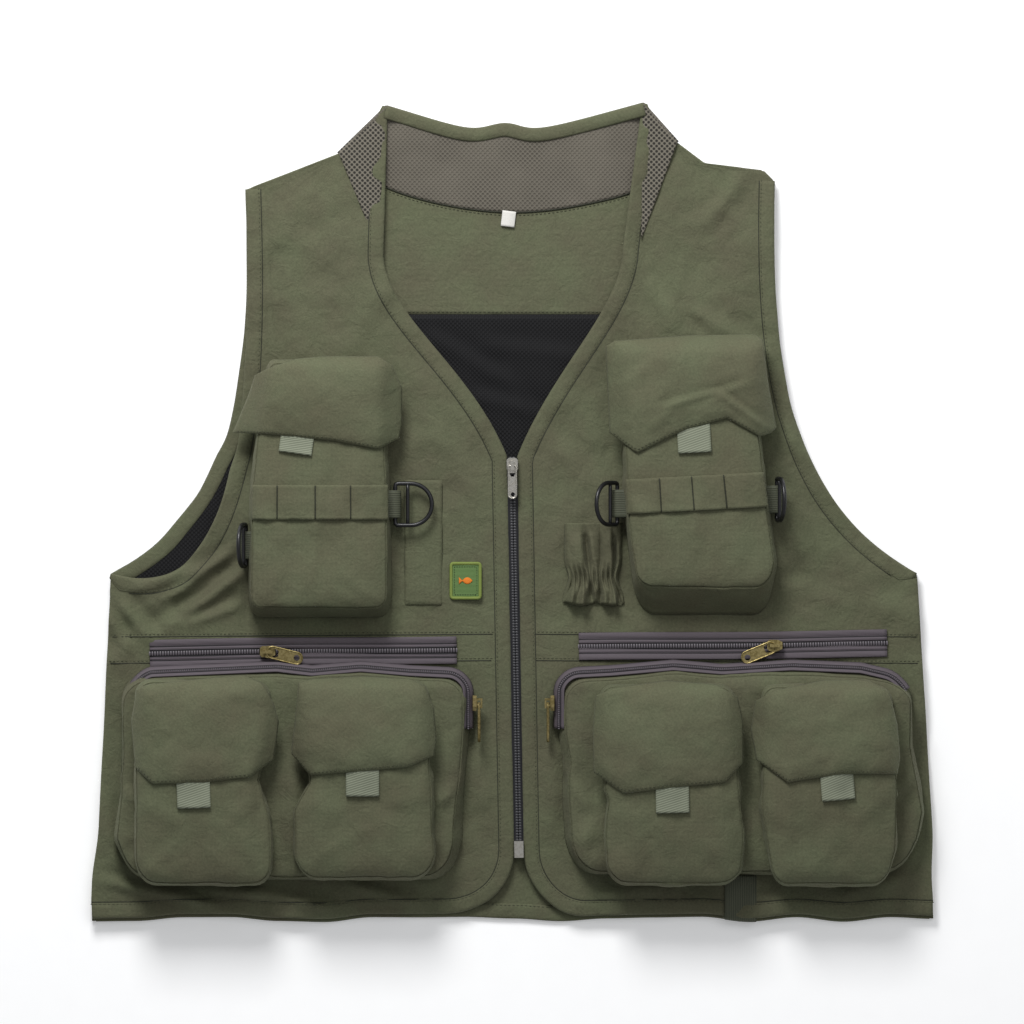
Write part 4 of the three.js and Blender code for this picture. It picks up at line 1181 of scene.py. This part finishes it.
@dataclass
class CargoPocket:
    """The wide pocket below the waist, with a zip round its top and inner side."""

    half: Half
    finishes: Finishes
    wave: Outline
    seed: int
    left: Outline
    right: Outline

    def build(self) -> None:
        """Body, zip tape, coil, and painted shade along the zip's grooves."""
        make, name = self.finishes, self.half.name
        low, high = cad_box(f"{name}_cargo_pocket")
        slope_in, slope_out = 5.0, 1.5
        inset = (slope_in, slope_out, 3.0, 7.5) if self.half.out > 0 else (slope_out, slope_in, 3.0, 7.5)
        bag = Bag((low[0], high[0]), (low[1], high[1]), (low[2] - 0.6, high[2] - 1.2), inset, 16.0, 1.0,
                  self.seed, slack=1.6, wave=self.wave, left=self.left, right=self.right, pucker=1.9,
                  creased=4.0)
        add_piece(f"{name}_cargo_pocket_body", [bag.shell()], make.olive, thickness=1.2,
                  replaces=(f"{name}_cargo_pocket",),
                  cloth=Cloth(Held.STRETCHED, (f"{name}_front",)))
        inner, outer = sorted((abs(low[0]), abs(high[0])))
        top = high[1]
        path = np.concatenate([arc((outer - 26, top - 18), 18, 25, 90), [(inner + 16, top)],
                               arc((inner + 16, top - 16), 16, 90, 180), [(inner, -155.7)]])
        path = even(self.half.place(path), 2.0)
        rise = np.interp(path[:, 0], *zip(*self.wave)) * np.clip((path[:, 1] - (top - 30)) / 25, 0, 1)
        path[:, 1] += rise
        sign = self.half.out
        slope = [(-2.4, 13.5), (-1.6, 17.0), (0.0, 19.4), (0.7, 19.9), (1.1, 19.0), (2.1, 19.1), (2.6, 20.6),
                 (3.8, 22.8), (5.0, 24.2)]
        tape = ribbon(path, mirrored(slope, sign), lambda x, y: 0 * x)
        add_piece(f"{name}_cargo_zip_tape", [tape], make.grey_tape, thickness=0.7,
                  replaces=(f"{name}_cargo_zip",),
                  cloth=Cloth(Held.FOLDED, (f"{name}_cargo_pocket_body",)))
        coil = path + left_of(path) * sign * 1.7
        line = at_height(coil, 20.0)
        add_piece(f"{name}_cargo_zip_coil", [coil_teeth(line, 1.5, 1.7)], make.grey_coil)
        # Two thin dark tubes beside the coil: painted shade in the tape's sewing grooves.
        beside = [tube(even(at_height(path + left_of(path) * sign * offset, height), 3), 0.5, 5)
                  for offset, height in ((0.6, 19.4), (2.7, 21.2))]
        add_piece(f"{name}_cargo_zip_grooves", beside, make.groove)


def coil_teeth(line: Array, pitch: float, width: float) -> Shape:
    """Coil turns across a line: each a bead with blunt ends, lying across, on a lattice of one pitch."""
    places = even(line, pitch)
    tangent = np.gradient(places, axis=0)
    tangent /= np.linalg.norm(tangent, axis=1, keepdims=True)
    side = np.cross(tangent, [0, 0, 1.0])
    lift = np.array([0, 0, 1.0])[None]
    half, wide = pitch * 0.36, width / 2
    section = [(-1, 0.0, 0.0), (-0.7, 0.8, 0.7), (0.7, 0.8, 0.7), (1, 0.0, 0.0), (0.7, -0.8, 0.7),
               (-0.7, -0.8, 0.7)]
    ridge = [(-0.6, 0.0, 1.5), (0.6, 0.0, 1.5)]
    points = np.stack([places + side * wide * a + tangent * half * b + lift * c * 0.45
                       for a, b, c in section + ridge], 1).reshape(-1, 3)
    corners = np.array([[0, 1, 6, 6], [1, 2, 7, 6], [2, 3, 7, 7], [3, 4, 7, 7], [4, 5, 6, 7], [5, 0, 6, 6]])
    faces = (np.arange(len(places))[:, None, None] * 8 + corners).reshape(-1, 4)
    p = points[faces]
    cross = np.cross(p[:, 2] - p[:, 0], p[:, 3] - p[:, 1])
    if cross[:, 2].sum() < 0:
        faces = faces[:, ::-1]
    return Shape(points, faces, np.zeros((len(faces), 4, 2)))


@dataclass
class WaistZip:
    """The straight zip of a waist pocket: two tapes and a coil between them, with dark tubes of painted shade
    in its stitched grooves and under its coil.
    """

    half: Half
    finishes: Finishes

    def build(self) -> None:
        """Tape, coil, and the painted groove shade."""
        make, name = self.finishes, self.half.name
        low, high = cad_box(f"{name}_waist_zip")
        middle = (low[1] + high[1]) / 2
        line = even(np.array([(low[0], middle), (high[0], middle)]), 2.5)
        side = [(2.2, 0.2), (2.6, 0.8), (4.4, 0.7), (5.0, -0.1), (5.6, 0.6), (8.8, 0.6), (9.7, 0.4),
                (10.0, -0.6)]
        profile = mirrored(side[::-1], -1) + side
        bend = 0.8 * np.sin(line[:, 0] / 38.0)
        line[:, 1] += bend * 0.5
        tilted = line + np.stack([0 * line[:, 0], 0.012 * (line[:, 0] - (low[0] + high[0]) / 2)], -1)
        tape = ribbon(tilted, profile, lambda x, y: 9.9 + 0.25 * np.sin(x / 30))
        add_piece(f"{name}_waist_zip_tape", [tape], make.grey_tape, thickness=0.6,
                  replaces=(f"{name}_waist_zip",),
                  cloth=Cloth(Held.LAID, (f"{name}_front",)))
        line[:, 1] += 0.012 * (line[:, 0] - (low[0] + high[0]) / 2)
        centre = at_height(line, 10.1)
        add_piece(f"{name}_waist_zip_coil", [coil_teeth(centre + [0, 0, 0.25], 1.9, 3.4)], make.grey_coil)
        # Thin dark tubes along the tapes' sewing lines, and a flat dark band under the coil: painted shade.
        groove_shadows = [tube(even(centre + [0, offset, 0.15], 5), 0.42, 5) for offset in (-5.0, -2.5, 2.5, 5.0)]
        groove_shadows.append(tube(even(centre, 5), 2.3, 8, flat=0.14))
        add_piece(f"{name}_waist_zip_grooves", groove_shadows, make.groove)


@dataclass
class FrontZip:
    """The open-ended front zip: black tapes, fine coils, nickel slider, pull and retainer."""

    finishes: Finishes

    def build(self) -> None:
        """One half a side; the metal is the CAD's."""
        make = self.finishes
        for half in HALVES:
            y = np.linspace(-246, ZIP_END_Y, 96)
            line = np.stack([zip_x(y), y], -1)
            sign = -half.out
            profile = [(0.1, 0.4), (0.5, 0.7), (2.2, 0.7), (2.8, -0.2), (6.5, -0.8)]
            tape = ribbon(line, mirrored(profile, sign), lambda x, y: 8.6 + 0 * x)
            shift = line + left_of(line) * sign * 1.1
            coil = at_height(shift, 9.1)
            add_piece(f"{half.name}_front_zip_tape", [tape], make.black_tape, thickness=0.6,
                      replaces=(f"{half.name}_front_zip_half",),
                      cloth=Cloth(Held.LAID, (f"{half.name}_facing_strip",)))
            add_piece(f"{half.name}_front_zip_coil", [coil_teeth(coil, 2.0, 2.4)], make.black_coil)


@dataclass
class DRing:
    """A moulded D-ring: a round-sided bow, its straight bar and a crossbar that keeps the webbing."""

    node: str
    body: str
    centre: tuple[float, float, float]
    towards: int
    tilt: float
    finishes: Finishes

    def build(self) -> None:
        """Tubes along the D's rim and its crossbar, turned about the straight bar."""
        reach, half, bar = 28.0, 15.0, 1.55
        bow = arc((reach - bar - half, 0), half, -90, 90, 24)
        corners = [arc((1.5, side * (half - 1.5)), 1.5, start, start + 90, 5)
                   for side, start in ((1, 90), (-1, 180))]
        rim = np.concatenate([bow, *corners, bow[:1]])
        rim = even(rim, 2.0)[:-1]
        cross = np.stack([np.full(9, 9.0), np.linspace(-half + 0.6, half - 0.6, 9)], -1)
        angle = math.radians(self.tilt)
        parts = []
        for line, closed, radius in ((rim, True, bar), (cross, False, 1.3)):
            space = np.stack([self.towards * line[:, 0] * math.cos(angle), line[:, 1],
                              line[:, 0] * math.sin(angle)], -1) + np.array(self.centre)
            up = (-self.towards * math.sin(angle), 0, math.cos(angle))
            parts.append(tube(space, radius, 10, up=up, closed=closed))
        add_piece(f"{self.node}_moulding", parts, self.finishes.acetal, body=self.body, replaces=(self.node,))


@dataclass
class ChestPocket:
    """A deep chest pocket with flap, tab, a loop strip sewn into cells and two webbed D-rings."""

    half: Half
    finishes: Finishes
    shape: FlapShape
    seed: int
    tab_tilt: float
    strip_slope: float
    strip_stitches: tuple[float, ...]
    rings: tuple[tuple[str, tuple[float, float, float], int, float], ...]
    body_box: tuple[float, float, float, float]
    corner: float
    tab_cut: float
    inset: tuple[float, float, float, float]
    left: Outline
    right: Outline

    def build(self) -> None:
        """Body, strip, flap, tab, webbing and rings."""
        make, name = self.finishes, f"{self.half.name}_chest_pocket"
        x0, x1, y0, y1 = self.body_box
        bag = Bag((x0, x1), (y0, y1), (8.6, 36.4), self.inset, self.corner, 3.0, self.seed, slack=1.0,
                  left=self.left, right=self.right)
        straps = []
        for _, centre, towards, _ in self.rings:
            edge = centre[0] - towards * 4.5
            along = np.linspace(-10, 10, 12)
            loop = [(edge - towards * 4, 15.5), (edge, 17.3), (centre[0], 17.4),
                    (centre[0] + towards * 3.2, 20.0), (centre[0], 22.6), (edge, 22.7),
                    (edge - towards * 4, 24.5)]
            line = curve_through(loop, 1.5)
            grid = np.stack([np.broadcast_to(line[:, None, 0], (len(line), 12)),
                             np.broadcast_to(centre[1] + along[None], (len(line), 12)),
                             np.broadcast_to(line[:, None, 1], (len(line), 12))], -1)
            straps.append(surface(grid))
        # The body's finish is the olive canvas painted a shade lighter for the light.
        add_piece(f"{name}_body", [bag.shell()], make.flap, thickness=1.2, replaces=(name,),
                  cloth=Cloth(Held.STRETCHED, (f"{self.half.name}_front",)))
        add_piece(f"{name}_ring_webbing", straps, make.strap, thickness=1.1,
                  cloth=Cloth(Held.FOLDED, (f"{name}_body",)))
        Flap(name, f"{name}_flap", bag, self.shape, make, self.tab_tilt, tab_cut=self.tab_cut).build()
        low, high = cad_box(f"{self.half.name}_loop_strip")
        sx, sy = np.meshgrid(np.linspace(low[0], high[0], 76), np.linspace(low[1], high[1], 14),
                             indexing="ij")
        bounds = np.array([low[0] + 1, *self.strip_stitches, high[0] - 1])
        cell = np.clip(np.searchsorted(bounds, sx) - 1, 0, len(bounds) - 2)
        inside = np.clip((sx - bounds[cell]) / (bounds[cell + 1] - bounds[cell]), 0, 1)
        up = (sy - low[1]) / (high[1] - low[1])
        puffed = 2.0 * np.sin(math.pi * inside) ** 0.4 * (0.75 + 0.25 * np.sin(math.pi * up))
        middle = (low[0] + high[0]) / 2
        sy = sy + self.strip_slope * (sx - middle)
        share = (sx - low[0]) / (high[0] - low[0])
        start, stop = x0 + bag.shift(sy, 0) + 1.6, x1 + bag.shift(sy, 1) - 1.6
        sx = start + (stop - start) * share
        sz = bag.top(sx, sy) + 0.5 + puffed + 0.5 * np.exp(-((sy - low[1]) / 3) ** 2)
        add_piece(f"{self.half.name}_loop_strip_cloth", [sheet(sx, sy, sz)], make.flap,
                  thickness=1.2, replaces=(f"{self.half.name}_loop_strip",),
                  cloth=Cloth(Held.STRETCHED, (f"{name}_body",)))
        rows = []
        for place in self.strip_stitches:
            ys = np.linspace(low[1] + 0.5, high[1] - 0.5, 12) + self.strip_slope * (place - middle)
            part = (place - low[0]) / (high[0] - low[0])
            xs = (1 - part) * (x0 + bag.shift(ys, 0) + 1.6) + part * (x1 + bag.shift(ys, 1) - 1.6)
            rows.append(tube(np.stack([xs, ys, bag.top(xs, ys) + 1.6], -1), 0.45, 6))
        # Dark tubes on the stitch lines between the puffed cells: the bartack thread, with painted shade of
        # the valleys there.
        add_piece(f"{self.half.name}_loop_strip_bartacks", rows, make.crease)
        for ring, centre, towards, tilt in self.rings:
            node = f"{self.half.name}_{ring}_d_ring"
            DRing(node, node, centre, towards, tilt, make).build()


@dataclass
class SmallThings:
    """Tool pocket, gathered elastic pocket, badge and the webbing loop over the hem."""

    finishes: Finishes

    def tool_pocket(self) -> None:
        """A narrow flat pocket open at its top, its cloth lifted a little from the front."""
        low, high = cad_box("tool_pocket")
        across = np.concatenate([[0, 0.02, 0.05], np.linspace(0.1, 0.9, 12), [0.95, 0.98, 1]])[:, None]
        up = np.concatenate([[0, 0.01, 0.025, 0.05], np.linspace(0.08, 1, 30)])[None]
        x = low[0] + (high[0] - low[0]) * across + 0 * up
        y = low[1] + (high[1] - low[1]) * up + 0 * across
        side = np.clip(np.minimum(across, 1 - across) * (high[0] - low[0]) / 1.6, 0, 1)
        foot = np.clip(up * (high[1] - low[1]) / 2.2, 0, 1)
        z = 8.6 + np.sqrt(side * foot) * (2.2 + 1.2 * np.sin(math.pi * across)) + 0.4 * crumple(x, y, 18, 71)
        add_piece("tool_pocket_cloth", [sheet(x, y, z)], self.finishes.olive, thickness=1.0,
                  replaces=("tool_pocket",), cloth=Cloth(Held.STRETCHED, ("right_front",)))

    def elastic_pocket(self) -> None:
        """Cloth drawn in by elastic two thirds down: soft folds above, close pleats at it, ruffles below."""
        low, high = cad_box("elastic_pocket")
        across = np.linspace(0, 1, 90)[:, None]
        down = np.linspace(0, 1, 56)[None]
        pull = np.exp(-(((down - 0.66) / 0.13) ** 2))
        width = 1 - 0.14 * pull + 0.06 * np.clip(down - 0.75, 0, 1) * 4
        middle = (low[0] + high[0]) / 2 + 1.5
        x = middle + (across - 0.5) * (high[0] - low[0] + 2) * width
        at_foot = np.clip((down - 0.8) / 0.2, 0, 1)
        round_foot = 5.0 * np.abs(np.sin(2 * math.pi * across - 0.3)) * at_foot
        y = high[1] - (high[1] - low[1] - 1) * down - 1.0 - round_foot * 0.6 + 3 * at_foot
        cell = np.where(across < 0.62, across / 0.62, (across - 0.62) / 0.38)
        hollow = np.exp(-(((cell - 0.55 - 0.25 * down) / 0.09) ** 2))
        wide_fold = 2.6 * np.sin(math.pi * cell) ** 0.5 - 1.2 - 2.6 * hollow * np.clip(down * 6, 0, 1)
        pleat = np.sin(2 * math.pi * (11 * across + 0.35 * np.sin(5 * down))) * pull
        ruffle = np.sin(2 * math.pi * (5.5 * across + 0.5 * down)) * np.clip((down - 0.7) / 0.15, 0, 1)
        edge = np.clip(np.minimum(across, 1 - across) / 0.05, 0, 1) ** 0.5
        hem = np.clip((1 - down) / 0.03, 0, 1) ** 0.5
        z = 9.2 + edge * hem * (4.6 + 3.4 * wide_fold * (1 - pull) * np.clip(down * 4, 0.4, 1) + 2.0 * pleat
                                + 2.6 * ruffle)
        add_piece("elastic_pocket_cloth", [sheet(x, y, z)], self.finishes.olive,
                  thickness=0.8, replaces=("elastic_pocket",),
                  cloth=Cloth(Held.GATHERED, ("left_front",), shrink=0.98))

    def badge(self) -> None:
        """A twill patch with an overlocked edge and a small plain fish in satin stitch."""
        make = self.finishes
        low, high = cad_box("badge_patch")
        x, y = np.meshgrid(np.linspace(low[0] + 1, high[0] - 1, 14), np.linspace(low[1] + 1, high[1] - 1, 16),
                           indexing="ij")
        cloth = sheet(x, y, 10.6 + 0.12 * np.sin(x / 3) + 0.1 * np.cos(y / 4))
        add_piece("badge_cloth_patch", [cloth], make.badge, thickness=1.0, replaces=("badge_patch",),
                  cloth=Cloth(Held.LAID, ("right_front",)))
        ring = box_ring(low[0] + 1, high[0] - 1, low[1] + 1, high[1] - 1, 1.6, 12, 4)
        add_piece("badge_overlock", [tube(at_height(ring, 10.5), 1.15, 8, closed=True, flat=0.75)],
                  make.badge_edge)
        inner = box_ring(low[0] + 3.4, high[0] - 3.4, low[1] + 3.4, high[1] - 3.4, 1.0, 10, 3)
        inner = np.concatenate([inner, inner[:1]])
        add_piece("badge_stitching", [stitches(at_height(inner, 10.8), 1.8, 1.3, 0.25)], make.crease)
        cx, cy = (low[0] + high[0]) / 2, (low[1] + high[1]) / 2
        t = np.linspace(0, 1, 26)
        half = (2.3 * np.sin(math.pi * np.clip(t / 0.74, 0, 1)) ** 0.8
                + 2.4 * np.clip((t - 0.74) / 0.26, 0, 1) + 0.15)
        section = np.linspace(-1, 1, 9)
        fx = cx + 4.8 - 9.6 * t[:, None] + 0 * section[None]
        fy = cy + half[:, None] * section[None]
        fz = 10.95 + 0.5 * np.sqrt(1 - section[None] ** 2 * 0.98) + 0 * t[:, None]
        add_piece("badge_fish", [sheet(fx, fy, fz)], make.badge_motif, thickness=0.3)

    def hem_loop(self) -> None:
        """A webbing strap down from the cargo pocket and round the hem."""
        low, high = cad_box("hem_loop")
        path = curve_through([(high[1], 10.4), (-275, 11.0), (-288, 11.2), (-293.4, 9.6), (-293.6, 6.6),
                              (-290, 4.6)], 2.0)
        across = np.linspace(low[0], high[0], 14)
        grid = np.stack([np.broadcast_to(across[None], (len(path), 14)),
                         np.broadcast_to(path[:, :1], (len(path), 14)),
                         path[:, 1:] + 0.25 * np.cos((across[None] - low[0]) / 23 * 2 * math.pi)], -1)
        add_piece("hem_loop_webbing", [surface(grid)], self.finishes.strap, thickness=1.2,
                  replaces=("hem_loop",), cloth=Cloth(Held.FOLDED, ("left_front",)))

    def build(self) -> None:
        """All four."""
        self.tool_pocket()
        self.elastic_pocket()
        self.badge()
        self.hem_loop()


@dataclass
class Hardware:
    """The metal of the zips: CAD nodes kept, with their plated finish."""

    finishes: Finishes

    def build(self) -> None:
        """Gives each slider, pull and the retainer its finish."""
        make = self.finishes
        for name in ("front_zip_slider", "front_zip_pull", "front_zip_retainer_box"):
            self.dress(name, make.nickel)
        for half in HALVES:
            for part in ("waist_zip_slider", "waist_zip_pull", "cargo_zip_slider", "cargo_zip_pull"):
                self.dress(f"{half.name}_{part}", make.brass)
            self.rim(f"{half.name}_waist_zip_pull", make.brass)
            self.rim(f"{half.name}_cargo_zip_pull", make.brass)
        self.rim("front_zip_pull", make.nickel)

    def rim(self, name: str, material: bpy.types.Material) -> None:
        """A raised rim round a pull's plate, along its round-ended outline, on the plate's own three axes."""
        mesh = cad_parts[name].data
        points = np.empty(len(mesh.vertices) * 3, np.float32)
        mesh.vertices.foreach_get("co", points)
        points = points.reshape(-1, 3).astype(float) * 1000
        axes = np.linalg.svd(points - points.mean(0), full_matrices=False)[2]
        along = (points - points.mean(0)) @ axes.T
        low, high = along.min(0), along.max(0)
        middle = points.mean(0) + (low + high) / 2 @ axes
        half = (high - low) / 2
        outline = box_ring(-half[0] + 0.5, half[0] - 0.5, -half[1] + 0.5, half[1] - 0.5, half[1] - 0.9, 10, 8)
        parts = []
        for side in (-1, 1):
            flat = at_height(outline, side * half[2])
            parts.append(tube(middle + flat @ axes, 0.55, 7, up=tuple(axes[2]), closed=True, flat=0.8))
        body = name.replace("waist_zip", "waist").replace("cargo_zip", "cargo")
        add_piece(f"{name}_rim", parts, material, body=body)

    def dress(self, name: str, material: bpy.types.Material) -> None:
        """Puts one finish on a CAD node."""
        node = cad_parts[name]
        node.data.materials.clear()
        node.data.materials.append(material)


@dataclass
class Seams:
    """Thread along the facings, hems and collar, and dark tubes of painted shade along the pressed lines
    beside it.
    """

    finishes: Finishes
    back: BackPanels

    def on(self, line: Array, height, rise: float) -> Array:
        """A flat line lifted onto a height field."""
        return np.concatenate([line, (height(line[:, 0], line[:, 1]) + rise)[:, None]], 1)

    def build(self) -> None:
        """All stitching that doesn't move, and the painted shade in the pressed seam grooves."""
        rows, seam_shadows = [], []
        for half in HALVES:
            sign = -half.out
            edge = even(half.place(half.front_edge()), 3)
            hole = even(half.place(half.armhole()), 3)
            for line in (edge, hole):
                inner = (line + left_of(line) * sign * 9.4)[:-5]
                rows.append(stitches(self.on(inner, half.height, 0.35)))
                # A dark tube along the pressed line: painted shade in its groove.
                pressed = even((line + left_of(line) * sign * 10.9)[:-5], 4)
                seam_shadows.append(tube(self.on(pressed, half.height, 0.0), 0.35, 5))
            for y in WAIST_SEAMS:
                inner_end = 15.0 if y > -100 else 16.0
                outer_end = float(np.interp(y, [FRONT_HEM, ARMPIT_Y], [HALF_HEM, HALF_CHEST])) - 3
                seam = even(half.place(np.array([(inner_end, y), (outer_end, y - 2)])), 4)
                # A dark tube along the waist seam: painted shade in its groove.
                seam_shadows.append(tube(self.on(seam, half.height, 0.0), 0.4, 5))
                rows.append(stitches(self.on(seam + [0, 1.6], half.height, 0.1)))
        band = self.back.seam()
        inside = even(band[(band[:, 0] >= -100) & (band[:, 0] <= 97)], 3)
        rows.append(stitches(self.on(inside - [0, 2], self.back.height, 0.3)))
        # A dark tube along the collar seam: painted shade in its groove.
        seam_shadows.append(tube(self.on(inside, self.back.height, 0.7), 0.5, 5))
        yoke = even(np.array([(-150.0, YOKE_Y), (150.0, YOKE_Y)]), 4)
        rows.append(stitches(self.on(yoke + [0, 1.8], self.back.height, 0.3)))
        hem = even(np.array([(-HALF_HEM + 6, HEM + 10.2), (HALF_HEM - 6, HEM + 10.2)]), 4)
        rows.append(stitches(self.on(hem, self.back.height, 0.8)))
        add_piece("sewing_thread", rows, self.finishes.thread)
        # The pressed lines' dark tubes are painted seam shadow.
        add_piece("pressed_seam_shadow_lines", seam_shadows, self.finishes.crease)


# ---- Studio ----------------------------------------------------------------------------------


@dataclass
class Studio:
    """Pale floor, soft light and the camera straight above on a long lens."""

    floor_reach: float = 3.0
    floor_level: float = -0.0006
    view_width: float = 0.7373
    film_width: float = 36.0
    lens: float = 300.0
    centre: Pair = (-0.0011, 0.0)

    def build(self) -> None:
        """Floor, lights, camera and colour setting."""
        corners = [(x * self.floor_reach, y * self.floor_reach, self.floor_level)
                   for x, y in ((-1, -1), (1, -1), (1, 1), (-1, 1))]
        mesh = bpy.data.meshes.new("floor")
        mesh.from_pydata(corners, [], [(0, 1, 2, 3)])
        floor = bpy.data.objects.new("floor", mesh)
        bpy.context.scene.collection.objects.link(floor)
        material, tree, shader, coordinates = new_material("matt_white_board")
        grain = noise(tree, coordinates.outputs["Object"], 60.0)
        put(tree, shader, Base_Color=mixed(tree, grain, linear("#fbfbfb"), linear("#ffffff")),
            Emission_Color=linear("#ffffff"), Emission_Strength=0.16, Roughness=0.9)
        mesh.materials.append(material)
        world = bpy.data.worlds.new("studio")
        bpy.context.scene.world = world
        world.use_nodes = True
        background = world.node_tree.nodes["Background"]
        background.inputs[0].default_value = (0.95, 0.97, 1.0, 1)
        background.inputs[1].default_value = 0.35
        self.softbox("key", (-0.35, 1.3, 1.15), 0.6, 30.0)
        self.softbox("fill", (0.8, 0.8, 2.1), 1.4, 8.5)
        camera = bpy.data.cameras.new("camera")
        camera.lens, camera.sensor_width = self.lens, self.film_width
        camera.clip_start, camera.clip_end = 0.05, 50.0
        holder = bpy.data.objects.new("camera", camera)
        distance = self.view_width * self.lens / self.film_width
        holder.location = (self.centre[0], self.centre[1], distance + 0.012)
        bpy.context.scene.collection.objects.link(holder)
        bpy.context.scene.camera = holder
        bpy.context.scene.view_settings.view_transform = "Standard"

    def softbox(self, name: str, place: tuple[float, float, float], size: float, power: float) -> None:
        """A square area light aimed at the vest's middle."""
        light = bpy.data.lights.new(name, "AREA")
        light.shape, light.size, light.energy = "SQUARE", size, power
        holder = bpy.data.objects.new(name, light)
        x, y, z = place
        holder.location = place
        across = math.hypot(x, y)
        holder.rotation_euler = (math.atan2(across, z), 0, math.atan2(y, x) + math.pi / 2)
        bpy.context.scene.collection.objects.link(holder)


# ---- Assembly --------------------------------------------------------------------------------


SMALL_POCKETS = {
    "right_rear_pocket": (FlapShape(
        ((0, -8), (0.08, -4), (0.5, 0), (0.85, 3), (1, -3)),
        ((0, 12), (0.13, 0), (0.5, 1), (0.84, 5), (1, 17)),
        ((0, 4), (0.4, 0), (1, 3)), ((0, -12), (0.25, -4), (0.5, 0), (0.8, -2), (1, -4))), 101, 2.0,
        ((-268, 4), (-250, 0), (-119, 1)),
        ((-268, -4), (-245, -2), (-215, -4), (-192, -12), (-160, -4), (-119, -3)), 4.5),
    "right_fore_pocket": (FlapShape(
        ((0, -3), (0.1, 0), (0.5, 2), (0.88, 0), (1, -6)), ((0, 15), (0.13, 0), (0.6, 4), (0.82, 6), (1, 14)),
        ((0, 5), (0.6, 2), (0.9, 0), (1, 0)), ((0, -8), (0.3, -2), (0.8, 0), (1, -2))), 111, 0.0,
        ((-268, 7), (-246, -1), (-213, -2), (-192, 11), (-170, 3), (-119, 2)),
        ((-268, -5), (-246, 2), (-183, -2), (-119, -3)), 4.5),
    "left_fore_pocket": (FlapShape(
        ((0, -9), (0.15, -3), (0.5, 2), (0.85, -1), (1, -10)),
        ((0, 15), (0.2, 0), (0.5, 4), (0.88, 8), (1, 22)),
        ((0, 2), (0.5, 0), (1, 1)), ((0, -4), (0.4, 0), (1, 0))), 121, 1.0,
        ((-268, 11), (-253, 7), (-230, 6), (-206, 8), (-180, 2), (-122, 2)),
        ((-268, -3), (-257, 2), (-230, 4), (-196, 0), (-122, -3)), 7.5),
    "left_rear_pocket": (FlapShape(
        ((0, -12), (0.15, -4), (0.5, 3), (0.85, 3), (1, -5)),
        ((0, 16), (0.22, 0), (0.6, 6), (0.75, 6), (1, 6)),
        ((0, 3), (0.5, 0), (1, 4)), ((0, -8), (0.4, -2), (0.8, 0), (1, -2))), 131, 5.0,
        ((-269, 15), (-240, 9), (-215, 5), (-187, 5), (-150, 8), (-123, 3)),
        ((-269, -8), (-242, 0), (-204, 1), (-123, -3)), 9.0),
}


def main() -> None:
    """Builds the vest from the back up, then the studio."""
    logging.basicConfig(level=logging.INFO, format="%(name)s %(message)s")
    make = Finishes()
    back = BackPanels(make)
    back.build()
    Collar(make, back).build()
    for half in HALVES:
        FrontPanels(half, make).build()
        WaistZip(half, make).build()
    FrontZip(make).build()
    CargoPocket(RIGHT, make, ((-285, -6), (-262, -1), (-215, 1), (-170, 3), (-145, 0), (-110, 3), (-75, 0),
                              (-31, -2)), 201,
                ((-265, 8), (-252, 5), (-235, -2), (-204, 2), (-112, 4)),
                ((-265, -14), (-236, -6), (-204, -5), (-160, -1), (-112, 0))).build()
    CargoPocket(LEFT, make, ((31, -2), (70, 0), (115, 4), (150, 1), (200, 4), (250, 2), (293, -8)), 211,
                ((-261, 14), (-236, 6), (-204, 4), (-180, 5), (-160, 2), (-112, 1)),
                ((-261, -14), (-234, -2), (-215, 2), (-168, -6), (-132, -6), (-112, -10))).build()
    for name, (shape, seed, tilt, left, right, sag) in SMALL_POCKETS.items():
        SmallPocket(name, make, shape, seed, tilt, left, right, sag).build()
    ChestPocket(
        RIGHT, make,
        FlapShape(((0, -14), (0.1, -9), (0.3, -2), (0.5, 0), (0.9, 0), (1, -7)),
                  ((0, 10), (0.2, 9), (0.6, 4), (0.88, -2), (1, 6)),
                  ((0, 16), (0.3, 12), (0.6, 7), (1, 0)), ((0, -8), (0.3, -1), (0.8, -1), (1, -3)), puff=4.0),
        301, -8.0, 0.0, (-170.0, -142.0, -116.0),
        (("inner", (-85.1, 5.5, 20.0), 1, 0.0), ("outer", (-192.4, -24.0, 20.0), -1, 80.0)),
        (-190.0, -87.5, -76.0, 110.0), 6.5, 6.5, (2.0, 3.0, 7.0, 3.0),
        ((-76, 3), (-60, 0), (19, 0.5), (49, 5), (112, 14)),
        ((-76, -4), (-60, 0), (19, -1), (49, -3), (112, -3))).build()
    ChestPocket(
        LEFT, make,
        FlapShape(((0, -5), (0.06, -1), (0.5, 3), (0.95, 4), (1, 0)),
                  ((0, 12), (0.16, -3), (0.45, 14), (0.7, 22), (0.9, 9), (0.97, 12), (1, 16)),
                  ((0, -1), (1, 2)), ((0, -10), (0.5, -6), (1, 0)), puff=2.5,
                  folds=(Fold((108, 76), (168, 92), 2.0, 1.8), Fold((146, 86), (182, 60), 2.2, 1.9),
                         Fold((140, 78), (170, 96), 2, 1.1), Fold((76, 90), (96, 104), 4, 1.2),
                         Fold((98, 60), (122, 82), 4, 1.2))),
        311, 3.0, 0.05, (104.0, 129.0, 154.0),
        (("inner", (74.6, 6.0, 20.0), -1, 55.0), ("outer", (189.4, 9.0, 20.0), 1, 80.0)),
        (77.0, 190.0, -74.0, 121.0), 12.0, 0.0, (3.0, 3.0, 20.0, 3.0),
        ((-74, 16), (-53, 9), (-6, 3), (48, 1), (124, -2)),
        ((-74, -8), (-59, -5), (-37, 0), (31, -9), (56, -12), (124, -12))).build()
    SmallThings(make).build()
    Hardware(make).build()
    Seams(make, back).build()
    Studio().build()


if __name__ == "__main__":
    main()
